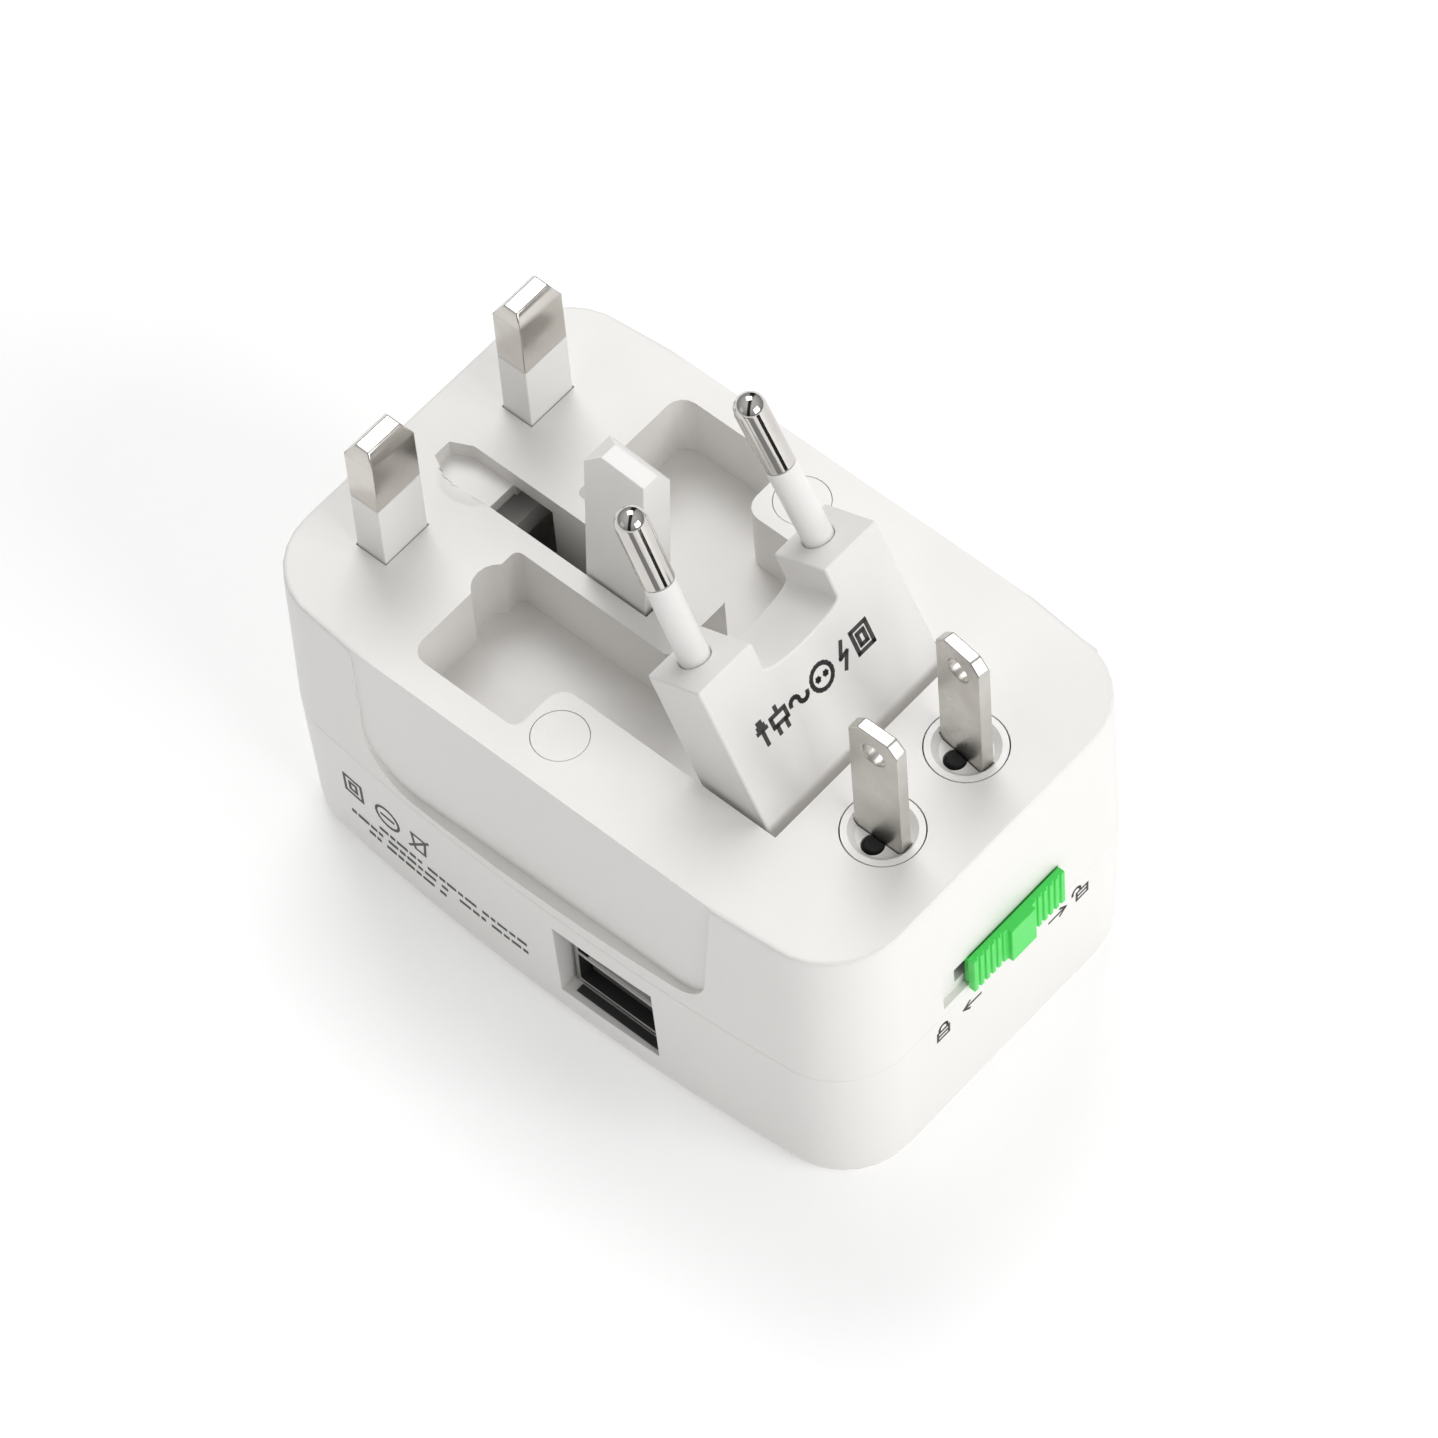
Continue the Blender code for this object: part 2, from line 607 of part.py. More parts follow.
def make_screws():
    steel = material("screw_steel", STEEL, 0.35, 1)
    white = material("screw_cap_white", OFF_WHITE, 0.42, 0)
    for side, name in ((-1, "near"), (1, "far")):
        y = side * SCREW_Y
        head_low = (SCREW_X, y, 36.3 * MM)
        head_high = (SCREW_X, y, 38.3 * MM)
        screw = rod(f"case_screw_{name}", head_low, head_high, 2.7 * MM, segments=20)
        shank_low = (SCREW_X, y, 11 * MM)
        shank_high = (SCREW_X, y, 37 * MM)
        join(screw, rod(f"screw_shank_{name}", shank_low, shank_high, 1.4 * MM, segments=16))
        slot_low = (SCREW_X - 1.9 * MM, y - 0.3 * MM, 37.5 * MM)
        slot_high = (SCREW_X + 1.9 * MM, y + 0.3 * MM, 39 * MM)
        cross_low = (SCREW_X - 0.3 * MM, y - 1.9 * MM, 37.5 * MM)
        cross_high = (SCREW_X + 0.3 * MM, y + 1.9 * MM, 39 * MM)
        cut(screw, box(f"drive_{name}", slot_low, slot_high))
        cut(screw, box(f"drive_cross_{name}", cross_low, cross_high))
        finish(screw, steel)
        cap_low = (SCREW_X, y, 40.6 * MM)
        cap_high = (SCREW_X, y, BODY_HEIGHT)
        cap = rod(f"screw_cap_{name}", cap_low, cap_high, CAP_RADIUS - 0.06 * MM, segments=32)
        finish(cap, white)


# ---------------------------------------------------------------- UK pins


def make_uk_pins():
    white = material("uk_white", OFF_WHITE, 0.45, 0)
    nickel = material("uk_nickel", NICKEL, 0.22, 1)
    carriage = box("uk_carriage", (-37 * MM, -15 * MM, CARRIAGE_Z[0]), (-25.5 * MM, 15 * MM, CARRIAGE_Z[1]))
    arm_low = (-KNOB_X - 1.2 * MM, 14 * MM, CARRIAGE_Z[0])
    join(carriage, box("uk_arm", arm_low, (-KNOB_X + 1.2 * MM, ARM_END_Y, CARRIAGE_Z[1])))
    for side, name in ((1, "line"), (-1, "neutral")):
        y = side * UK_Y
        half_x = UK_CORE[0] / 2 + 0.15 * MM
        half_y = UK_CORE[1] / 2 + 0.15 * MM
        hole_low = (UK_X - half_x, y - half_y, CARRIAGE_Z[0] - MM)
        cut(carriage, box(f"uk_{name}_pocket", hole_low, (UK_X + half_x, y + half_y, CARRIAGE_Z[1] + MM)))
        core_x = UK_CORE[0] / 2
        core_y = UK_CORE[1] / 2
        full_x = UK_PIN[0] / 2
        full_y = UK_PIN[1] / 2
        tiers = [
            (core_x, core_y, CARRIAGE_Z[0]),
            (core_x, core_y, UK_SLEEVE_TOP),
            (full_x, full_y, UK_SLEEVE_TOP),
            (full_x, full_y, UK_PIN_TOP - UK_CHAMFER),
            (full_x - UK_CROWN[0], full_y - UK_CROWN[1], UK_PIN_TOP),
        ]
        pin = tiered(f"uk_{name}_pin", UK_X, y, tiers)
        finish(pin, nickel)
        sleeve_low = (UK_X - full_x, y - full_y, CARRIAGE_Z[1] + GAP)
        sleeve_high = (UK_X + full_x, y + full_y, UK_SLEEVE_TOP - 0.05 * MM)
        sleeve = box(f"uk_{name}_sleeve", sleeve_low, sleeve_high)
        bore_low = (UK_X - core_x - 0.2 * MM, y - core_y - 0.2 * MM, CARRIAGE_Z[0])
        bore_high = (UK_X + core_x + 0.2 * MM, y + core_y + 0.2 * MM, UK_SLEEVE_TOP + MM)
        cut(sleeve, box(f"uk_{name}_bore", bore_low, bore_high))
        finish(sleeve, white)
    finish(carriage, white)
    make_knob("uk_knob", -KNOB_X, white)


def make_knob(name, x, paint):
    """Thumb knob outside the casing, with the stem that reaches its carriage."""
    wall_y = BODY_WIDTH / 2 - SIDE_BOW * (KNOB_X / (BODY_LENGTH / 2 - CORNER_RADIUS)) ** 2
    cap_low = (x - 3 * MM, wall_y + 0.25 * MM, KNOB_Z - 3.2 * MM)
    cap = tapered_knob(name, cap_low, (x + 3 * MM, wall_y + 1.9 * MM, KNOB_Z + 3.2 * MM))
    stem_low = (x - 1.1 * MM, ARM_END_Y + GAP, KNOB_Z - 1.2 * MM)
    join(cap, box(name + "_stem", stem_low, (x + 1.1 * MM, wall_y + MM, KNOB_Z + 1.2 * MM)))
    finish(cap, paint)


def tapered_knob(name, low, high):
    """A pad whose outer face is drawn in, with three finger grooves across it."""
    pad = box(name, low, high)
    middle = (Vector(low) + Vector(high)) / 2
    for vertex in pad.data.vertices:
        if vertex.co.y > middle.y:
            vertex.co.x = middle.x + (vertex.co.x - middle.x) * 0.86
            vertex.co.z = middle.z + (vertex.co.z - middle.z) * 0.86
    for step in (-1, 0, 1):
        z = middle.z + step * 1.6 * MM
        groove_low = (low[0] - MM, high[1] - 0.5 * MM, z - 0.35 * MM)
        groove_high = (high[0] + MM, high[1] + MM, z + 0.35 * MM)
        cut(pad, box(f"{name}_groove_{step + 2}", groove_low, groove_high))
    return pad


# ---------------------------------------------------------------- US and AU blades


def make_us_pins():
    white = material("us_white", OFF_WHITE, 0.45, 0)
    nickel = material("us_nickel", NICKEL, 0.22, 1)
    carriage_low = (24.8 * MM, -12.6 * MM, CARRIAGE_Z[0])
    carriage = box("us_carriage", carriage_low, (34.6 * MM, 12.6 * MM, CARRIAGE_Z[1]))
    arm_low = (KNOB_X - 1.2 * MM, 12 * MM, CARRIAGE_Z[0])
    join(carriage, box("us_arm", arm_low, (KNOB_X + 1.2 * MM, ARM_END_Y, CARRIAGE_Z[1])))
    spindle = 1.9 * MM
    for side, name, turn in ((-1, "front", 0.0), (1, "rear", REAR_BLADE_TURN)):
        y = side * US_Y
        hole = (US_X, y, CARRIAGE_Z[0] - MM)
        cut(carriage, rod(f"spindle_hole_{name}", hole, (US_X, y, CARRIAGE_Z[1] + MM), spindle + GAP))
        pivot = pivot_at(f"us_{name}_pivot", (US_X, y, 0), turn_z=turn)
        rotor_high = (0, 0, BODY_HEIGHT)
        rotor = rod(f"us_{name}_rotor", (0, 0, ROTOR_BASE_Z), rotor_high, ROTOR_RADIUS, segments=40)
        join(rotor, rod(f"rotor_{name}_spindle", (0, 0, CARRIAGE_Z[0]), (0, 0, ROTOR_BASE_Z + MM), spindle))
        dish = (0, 0, BODY_HEIGHT - ROTOR_DISH_DEPTH)
        lip = (0, 0, BODY_HEIGHT + 0.1 * MM)
        floor_radius = ROTOR_DISH_RADIUS - ROTOR_DISH_DEPTH
        cut(rotor, rod(f"rotor_{name}_dish", dish, lip, floor_radius, ROTOR_DISH_RADIUS, segments=32))
        slot_low = (-US_BLADE[0] / 2 - 0.08 * MM, -US_BLADE[1] / 2 - 0.08 * MM, ROTOR_BASE_Z + 0.8 * MM)
        slot_high = (US_BLADE[0] / 2 + 0.08 * MM, US_BLADE[1] / 2 + 0.08 * MM, BODY_HEIGHT + MM)
        cut(rotor, box(f"rotor_{name}_slot", slot_low, slot_high))
        well = (0, ROTOR_WELL_Y, ROTOR_BASE_Z + 1.2 * MM)
        mouth = (0, ROTOR_WELL_Y, BODY_HEIGHT + MM)
        cut(rotor, rod(f"rotor_{name}_well", well, mouth, ROTOR_WELL_RADIUS))
        finish(rotor, white, pivot)
        for tool in rotor.modifiers:
            tool.object.parent = pivot
        blade = plate(f"us_{name}_blade", blade_outline(), -US_BLADE[1] / 2, US_BLADE[1] / 2, upright=True)
        eye = (0, -MM * 2, US_BLADE_TOP - 3.4 * MM)
        cut(blade, rod(f"blade_{name}_eye", eye, (0, MM * 2, eye[2]), US_BLADE_HOLE, segments=20))
        blade.modifiers[-1].object.parent = pivot
        finish(blade, nickel, pivot)
    finish(carriage, white)
    make_knob("us_knob", KNOB_X, white)


def blade_outline():
    half = US_BLADE[0] / 2
    top = US_BLADE_TOP
    chamfer = 1.2 * MM
    return [
        (half, ROTOR_BASE_Z + 1.1 * MM),
        (half, top - chamfer),
        (half - chamfer, top),
        (chamfer - half, top),
        (-half, top - chamfer),
        (-half, ROTOR_BASE_Z + 1.1 * MM),
    ]


# ---------------------------------------------------------------- round-pin block


def make_eu_plug():
    white = material("eu_white", OFF_WHITE, 0.42, 0)
    nickel = material("eu_nickel", NICKEL, 0.16, 1)
    steel = material("axle_steel", STEEL, 0.3, 1)
    pivot = pivot_at("eu_pivot", EU_AXIS, turn_y=EU_LEAN)
    profile = [(EU_FACE, EU_HEIGHT), (-EU_BACK, EU_HEIGHT)]
    profile += arc(0, 0, EU_FACE, 180, 360, 12)
    block = plate("eu_block", profile, -EU_HALF_Y, EU_HALF_Y, upright=True)
    notch_low = (-8 * MM, -EU_NOTCH_HALF_Y, EU_NOTCH_Z)
    notch_high = (8 * MM, EU_NOTCH_HALF_Y, EU_HEIGHT + MM)
    trough = rod("eu_trough", (-8 * MM, 0, 0), (8 * MM, 0, 0), EU_NOTCH_HALF_Y, segments=40)
    for vertex in trough.data.vertices:
        vertex.co.z = EU_NOTCH_Z + vertex.co.z * EU_TROUGH_DEPTH / EU_NOTCH_HALF_Y
    cut(block, box("eu_notch", notch_low, notch_high), trough)
    bore = rod("eu_block_bore", (0, -16 * MM, 0), (0, 16 * MM, 0), AXLE_RADIUS + 0.15 * MM)
    cut(block, bore)
    for side, name in ((-1, "front"), (1, "rear")):
        lean = Matrix.Rotation(side * EU_TOE_IN, 4, "X")
        foot = Matrix.Translation((EU_PIN_X, side * EU_PIN_Y, EU_HEIGHT)) @ lean
        down = EU_SOCKET_Z - EU_HEIGHT
        pocket = rod(f"eu_{name}_pocket", (0, 0, down), (0, 0, 2 * MM), EU_SLEEVE_RADIUS + 0.05 * MM)
        pocket.data.transform(foot)
        cut(block, pocket)
        tip = EU_PIN_TOP - EU_HEIGHT
        sleeve_top = EU_SLEEVE_TOP - EU_HEIGHT
        pin = turned_pin(f"eu_{name}_pin", down + GAP, sleeve_top + 0.1 * MM, tip)
        pin.data.transform(foot)
        finish(pin, nickel, pivot)
        sleeve = rod(f"eu_{name}_sleeve", (0, 0, down + GAP), (0, 0, sleeve_top), EU_SLEEVE_RADIUS)
        bore_radius = EU_CORE_RADIUS + 0.15 * MM
        bore = rod(f"eu_{name}_bore", (0, 0, down - MM), (0, 0, sleeve_top + MM), bore_radius)
        sleeve.data.transform(foot)
        bore.data.transform(foot)
        cut(sleeve, bore)
        bore.parent = pivot
        finish(sleeve, white, pivot)
    finish(block, white, pivot)
    for tool in block.modifiers:
        tool.object.parent = pivot
    axle = rod("eu_axle", (EU_AXIS.x, -15 * MM, EU_AXIS.z), (EU_AXIS.x, 15 * MM, EU_AXIS.z), AXLE_RADIUS)
    finish(axle, steel)


def turned_pin(name, foot, shoulder, tip):
    """A round pin: thin core inside the sleeve, full diameter above it and a domed end."""
    core = EU_CORE_RADIUS
    full = EU_PIN_RADIUS
    profile = [(0, tip)]
    for step in range(1, 6):
        angle = math.radians(90 * step / 5)
        profile.append((full * math.sin(angle), tip - full + full * math.cos(angle)))
    profile += [(full, shoulder), (core, shoulder), (core, foot), (0, foot)]
    mesh = bpy.data.meshes.new(name)
    edges = [(i, i + 1) for i in range(len(profile) - 1)]
    mesh.from_pydata([(x, 0, z) for x, z in profile], edges, [])
    obj = add_object(name, mesh)
    screw = obj.modifiers.new("turn", "SCREW")
    screw.steps = 24
    screw.render_steps = 24
    screw.use_merge_vertices = True
    screw.merge_threshold = 0.00001
    bpy.context.view_layer.update()
    solid = bpy.data.meshes.new_from_object(obj.evaluated_get(bpy.context.evaluated_depsgraph_get()))
    obj.modifiers.clear()
    obj.data = solid
    bpy.data.meshes.remove(mesh)
    solid.shade_smooth()
    solid.set_sharp_from_angle(angle=math.radians(35))
    return obj


# ---------------------------------------------------------------- earth pin


def make_earth_pin():
    pivot = pivot_at("earth_pivot", EARTH_AXIS, turn_y=EARTH_LEAN)
    profile = [(EARTH_HALF_X, EARTH_TIP), (-EARTH_HALF_X, EARTH_TIP)]
    profile += arc(0, 0, EARTH_HALF_X, 180, 360, 12)
    pin = plate("earth_pin", profile, -EARTH_HALF_Y, EARTH_HALF_Y, upright=True)
    reach = 8 * MM
    for name, side, foot_y, slope_x, slope_y in EARTH_CHAMFERS:
        wedge = box(f"earth_chamfer_{name}", (-reach, -reach, 0), (reach, reach, reach))
        turn = Matrix.Rotation(slope_x, 4, "X") @ Matrix.Rotation(slope_y, 4, "Y")
        wedge.data.transform(Matrix.Translation((side, foot_y, EARTH_SHOULDER)) @ turn)
        cut(pin, wedge)
    bore = rod("earth_pin_bore", (0, -3 * MM, 0), (0, 3 * MM, 0), EARTH_AXLE_RADIUS + 0.15 * MM)
    cut(pin, bore)
    for tool in pin.modifiers:
        tool.object.parent = pivot
    finish(pin, material("earth_white", OFF_WHITE, 0.45, 0), pivot)
    start = (EARTH_AXIS.x, -3.6 * MM, EARTH_AXIS.z)
    end = (EARTH_AXIS.x, 3.6 * MM, EARTH_AXIS.z)
    axle = rod("earth_axle", start, end, EARTH_AXLE_RADIUS)
    finish(axle, material("earth_axle_steel", STEEL, 0.3, 1))


# ---------------------------------------------------------------- lock


def make_lock():
    """Green slider on the end face, its inner bar, and the leaf spring that holds either position."""
    green = material("lock_green", GREEN, 0.4, 0)
    face_x = BODY_LENGTH / 2 + 0.15 * MM
    slider = box("lock_slider", (face_x, LOCK_Y[0], LOCK_Z[0]), (face_x + 0.9 * MM, LOCK_Y[1], LOCK_Z[1]))
    middle_y = (LOCK_Y[0] + LOCK_Y[1]) / 2
    pad_low = (face_x, middle_y - 1.9 * MM, LOCK_Z[0])
    join(slider, box("lock_pad", pad_low, (face_x + 1.5 * MM, middle_y + 1.9 * MM, LOCK_Z[1])))
    foot_low = (BODY_LENGTH / 2 - LOCK_TRACK_DEPTH + 0.2 * MM, LOCK_Y[0] + 0.3 * MM, LOCK_Z[0] + 0.5 * MM)
    foot_high = (face_x + 0.3 * MM, LOCK_Y[1] - 0.3 * MM, LOCK_Z[1] - 0.5 * MM)
    join(slider, box("lock_foot", foot_low, foot_high))
    stem_low = (36.9 * MM, middle_y - 2 * MM, 22.8 * MM)
    stem_high = (face_x + 0.3 * MM, middle_y + 2 * MM, 24.6 * MM)
    join(slider, box("lock_stem", stem_low, stem_high))
    rib = 0.35 * MM
    pitch = 0.9 * MM
    for step in range(5):
        for side in (-1, 1):
            y = middle_y + side * (2.7 * MM + step * pitch)
            low = (face_x + 0.65 * MM, y - rib / 2, LOCK_Z[0] - MM)
            high = (face_x + 3 * MM, y + rib / 2, LOCK_Z[1] + MM)
            cut(slider, box(f"lock_groove_{step}_{'near' if side < 0 else 'far'}", low, high))
    finish(slider, green)
    bar_low = (35.2 * MM, middle_y - 8 * MM, 22.4 * MM)
    bar_high = (36.6 * MM, middle_y + 8 * MM, 28.6 * MM)
    bar = box("lock_bar", bar_low, bar_high)
    finish(bar, material("lock_bar_white", OFF_WHITE, 0.5, 0))
    leaf = box("lock_spring", (37.0 * MM, -11.5 * MM, 23 * MM), (37.3 * MM, -5 * MM, 25 * MM))
    join(leaf, box("lock_spring_foot", (37.2 * MM, -11.5 * MM, 23 * MM), (37.9 * MM, -10.3 * MM, 25 * MM)))
    bump_low = (37.3 * MM, -6.2 * MM, 23 * MM)
    bump_high = (37.3 * MM, -6.2 * MM, 25 * MM)
    join(leaf, rod("lock_spring_bump", bump_low, bump_high, 0.5 * MM, segments=12))
    finish(leaf, material("lock_spring_steel", STEEL, 0.3, 1))


# ---------------------------------------------------------------- USB supply


def make_usb():
    board = box("usb_board", (0.4 * MM, -21.6 * MM, 3.75 * MM), (35 * MM, -6.6 * MM, 5.0 * MM))
    cut(board, box("board_corner", (30 * MM, -23 * MM, 3 * MM), (36 * MM, -18 * MM, 6 * MM)))
    finish(board, material("circuit_board", BOARD_GREEN, 0.5, 0))
    low = Vector((1.8 * MM, -23.4 * MM, 5.3 * MM))
    high = Vector((13.8 * MM, -9.4 * MM, 16.4 * MM))
    shell = box("usb_connector", low, high)
    sheet = 0.5 * MM
    ports = ((5.3 * MM + sheet, 10.55 * MM), (11.15 * MM, 16.4 * MM - sheet))
    for index, (port_low, port_high) in enumerate(ports, start=1):
        mouth_low = (low.x + sheet, low.y - MM, port_low)
        cut(shell, box(f"usb_port_{index}", mouth_low, (high.x - sheet, high.y - 2 * MM, port_high)))
        tongue_low = (low.x + 1.2 * MM, low.y + 1.2 * MM, port_low + 1.0 * MM)
        tongue_high = (high.x - 1.2 * MM, high.y - 2.4 * MM, port_low + 2.8 * MM)
        tongue = box(f"usb_tongue_{index}", tongue_low, tongue_high)
        finish(tongue, material(f"usb_tongue_white_{index}", OFF_WHITE, 0.5, 0))
    finish(shell, material("usb_shell_nickel", NICKEL, 0.3, 1))
    transformer = box("transformer", (18.5 * MM, -20.5 * MM, 5.4 * MM), (28.5 * MM, -8.5 * MM, 14.6 * MM))
    finish(transformer, material("transformer_tape", TAPE_YELLOW, 0.45, 0))
    for name, x, y, radius, height in (
        ("input_capacitor", 32.2, -12.6, 2.9, 8.6),
        ("output_capacitor", 16.2, -18.5, 1.9, 6.5),
    ):
        foot = (x * MM, y * MM, 5.3 * MM)
        can = rod(name, foot, (x * MM, y * MM, (5.3 + height) * MM), radius * MM, segments=20)
        finish(can, material(name + "_sleeve", DARK_GREY, 0.4, 0))
    light = rod("power_light", (LIGHT_X, 0, 0), (LIGHT_X, 0, 8 * MM), LIGHT_RADIUS, segments=20)
    finish(light, material("power_light_red", CLEAR_RED, 0.2, 0))


def make_fuse():
    y = 14.6 * MM
    z = 9.6 * MM
    tube = rod("fuse", (2.5 * MM, y, z), (27.9 * MM, y, z), 3.15 * MM, segments=24)
    finish(tube, material("fuse_ceramic", (0.88, 0.87, 0.84), 0.35, 0))
    brass = material("fuse_clip_brass", BRASS, 0.35, 1)
    for name, x in (("fuse_clip_inner", 4.2 * MM), ("fuse_clip_outer", 22.6 * MM)):
        clip = box(name, (x, y - 4.3 * MM, 5.4 * MM), (x + 3.6 * MM, y + 4.3 * MM, 12.0 * MM))
        cut(clip, box(name + "_gap", (x - MM, y - 3.5 * MM, 6.1 * MM), (x + 5 * MM, y + 3.5 * MM, 13 * MM)))
        finish(clip, brass)


clear_scene()
PARTS = new_collection("universal_travel_adapter")
TOOLS = new_collection("cutters")
make_plug_shell()
make_socket_shell()
make_socket_face()
make_shutter()
make_contacts()
make_screws()
make_uk_pins()
make_us_pins()
make_eu_plug()
make_earth_pin()
make_lock()
make_usb()
make_fuse()
bpy.context.view_layer.update()
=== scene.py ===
import math

import bmesh
import bpy
from mathutils import Matrix, Vector


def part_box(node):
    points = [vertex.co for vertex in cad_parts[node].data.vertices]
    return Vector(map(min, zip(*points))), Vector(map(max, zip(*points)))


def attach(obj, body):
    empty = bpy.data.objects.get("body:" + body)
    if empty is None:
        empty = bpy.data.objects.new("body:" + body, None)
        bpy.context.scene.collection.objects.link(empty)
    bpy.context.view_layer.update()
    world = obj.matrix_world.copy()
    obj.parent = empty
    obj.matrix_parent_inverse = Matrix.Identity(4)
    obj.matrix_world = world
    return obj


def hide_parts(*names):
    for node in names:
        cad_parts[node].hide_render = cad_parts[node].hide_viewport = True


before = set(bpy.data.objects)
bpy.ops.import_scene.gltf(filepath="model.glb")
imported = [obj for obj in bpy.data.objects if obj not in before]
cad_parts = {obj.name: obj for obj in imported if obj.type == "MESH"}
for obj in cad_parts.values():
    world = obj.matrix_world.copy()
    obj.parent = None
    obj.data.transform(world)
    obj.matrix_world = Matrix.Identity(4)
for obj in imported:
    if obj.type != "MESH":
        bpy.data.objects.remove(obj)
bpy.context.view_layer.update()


# ------------------------------------------------------------------ lower casing half
# The socket-side half of the casing: an injection-moulded polycarbonate tub in warm white, with a
# fine satin grain from the mould. It carries the supply board and the screws bite into its bosses.

MM = 0.001
SHARP_ANGLE = 38


def plain(obj):
    """The object with its modifiers worked into its mesh."""
    bpy.context.view_layer.update()
    graph = bpy.context.evaluated_depsgraph_get()
    mesh = bpy.data.meshes.new_from_object(obj.evaluated_get(graph))
    obj.modifiers.clear()
    obj.data = mesh
    return obj


def solid(name, bm):
    """A new object in the scene from a finished bmesh."""
    mesh = bpy.data.meshes.new(name)
    bm.to_mesh(mesh)
    bm.free()
    obj = bpy.data.objects.new(name, mesh)
    bpy.context.scene.collection.objects.link(obj)
    return obj


def clean_copy(node, name):
    """A CAD solid again, as whole flat faces instead of loose triangles."""
    bm = bmesh.new()
    bm.from_mesh(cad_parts[node].data)
    bmesh.ops.remove_doubles(bm, verts=bm.verts, dist=2e-6)
    bmesh.ops.dissolve_limit(bm, angle_limit=math.radians(0.6), verts=bm.verts, edges=bm.edges)
    bmesh.ops.recalc_face_normals(bm, faces=bm.faces)
    return solid(name, bm)


def soften(obj, width, segments=2, angle=35, clamped=True):
    """Rounds every edge a little, as a mould or a polish leaves it."""
    edge = obj.modifiers.new("softened", "BEVEL")
    edge.width = width
    edge.segments = segments
    edge.limit_method = "ANGLE"
    edge.angle_limit = math.radians(angle)
    edge.use_clamp_overlap = clamped
    plain(obj)
    return shade(obj)


def shade(obj):
    """Smooth shading that keeps every large face flat up to its small rounded edges."""
    obj.data.shade_smooth()
    obj.data.set_sharp_from_angle(angle=math.radians(SHARP_ANGLE))
    flat = obj.modifiers.new("flat_faces", "WEIGHTED_NORMAL")
    flat.keep_sharp = True
    flat.weight = 90
    return plain(obj)


def socket(tree, name, kind, default=None, out=False):
    made = tree.interface.new_socket(name, in_out="OUTPUT" if out else "INPUT", socket_type=kind)
    if default is not None:
        made.default_value = default
    return made


def mould_grain_group():
    """Satin mould grain: a fine pebble in the normal and slow drifts of tone and gloss."""
    tree = bpy.data.node_groups.new("mould_grain", "ShaderNodeTree")
    socket(tree, "Colour", "NodeSocketColor", (0.8, 0.8, 0.8, 1))
    socket(tree, "Grain per metre", "NodeSocketFloat", 5000)
    socket(tree, "Depth", "NodeSocketFloat", 0.05)
    socket(tree, "Gloss low", "NodeSocketFloat", 0.36)
    socket(tree, "Gloss high", "NodeSocketFloat", 0.5)
    socket(tree, "Drift", "NodeSocketFloat", 0.03)
    socket(tree, "Colour", "NodeSocketColor", out=True)
    socket(tree, "Roughness", "NodeSocketFloat", out=True)
    socket(tree, "Normal", "NodeSocketVector", out=True)
    node = tree.nodes.new
    link = tree.links.new
    given = node("NodeGroupInput")
    result = node("NodeGroupOutput")
    place = node("ShaderNodeTexCoord")
    fine = node("ShaderNodeTexNoise")
    fine.inputs["Detail"].default_value = 3
    link(place.outputs["Object"], fine.inputs["Vector"])
    link(given.outputs["Grain per metre"], fine.inputs["Scale"])
    bump = node("ShaderNodeBump")
    bump.inputs["Distance"].default_value = 0.00006
    link(given.outputs["Depth"], bump.inputs["Strength"])
    link(fine.outputs["Fac"], bump.inputs["Height"])
    link(bump.outputs["Normal"], result.inputs["Normal"])
    slow = node("ShaderNodeTexNoise")
    slow.inputs["Scale"].default_value = 55
    slow.inputs["Detail"].default_value = 4
    link(place.outputs["Object"], slow.inputs["Vector"])
    gloss = node("ShaderNodeMapRange")
    link(slow.outputs["Fac"], gloss.inputs["Value"])
    gloss.inputs["From Min"].default_value = 0.3
    gloss.inputs["From Max"].default_value = 0.7
    link(given.outputs["Gloss low"], gloss.inputs["To Min"])
    link(given.outputs["Gloss high"], gloss.inputs["To Max"])
    link(gloss.outputs["Result"], result.inputs["Roughness"])
    centred = node("ShaderNodeMath")
    centred.operation = "SUBTRACT"
    link(slow.outputs["Fac"], centred.inputs[0])
    centred.inputs[1].default_value = 0.5
    amount = node("ShaderNodeMath")
    amount.operation = "MULTIPLY_ADD"
    link(centred.outputs[0], amount.inputs[0])
    link(given.outputs["Drift"], amount.inputs[1])
    amount.inputs[2].default_value = 1
    tone = node("ShaderNodeVectorMath")
    tone.operation = "SCALE"
    link(given.outputs["Colour"], tone.inputs["Vector"])
    link(amount.outputs[0], tone.inputs["Scale"])
    link(tone.outputs["Vector"], result.inputs["Colour"])
    return tree


MOULD_GRAIN = mould_grain_group()


def material(name, tree, shader_values, group_values):
    """A material whose colour, gloss and relief come from a node group."""
    made = bpy.data.materials.new(name)
    made.use_nodes = True
    shader = made.node_tree.nodes["Principled BSDF"]
    group = made.node_tree.nodes.new("ShaderNodeGroup")
    group.node_tree = tree
    for entry, value in shader_values.items():
        shader.inputs[entry].default_value = value
    for entry, value in group_values.items():
        group.inputs[entry].default_value = value
    for result, entry in (("Colour", "Base Color"), ("Roughness", "Roughness"), ("Normal", "Normal")):
        made.node_tree.links.new(group.outputs[result], shader.inputs[entry])
    return made


def moulded(name, colour, gloss=(0.36, 0.5), grain=5000, depth=0.25, drift=0.05):
    """A moulded plastic with its own colour, gloss and grain."""
    values = {
        "Colour": (*colour, 1),
        "Grain per metre": grain,
        "Depth": depth,
        "Gloss low": gloss[0],
        "Gloss high": gloss[1],
        "Drift": drift,
    }
    return material(name, MOULD_GRAIN, {"IOR": 1.55}, values)


def fit(obj, finish, body, replaced):
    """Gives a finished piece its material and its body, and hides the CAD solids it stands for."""
    obj.data.materials.clear()
    obj.data.materials.append(finish)
    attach(obj, body)
    if replaced:
        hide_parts(*replaced)
    return obj


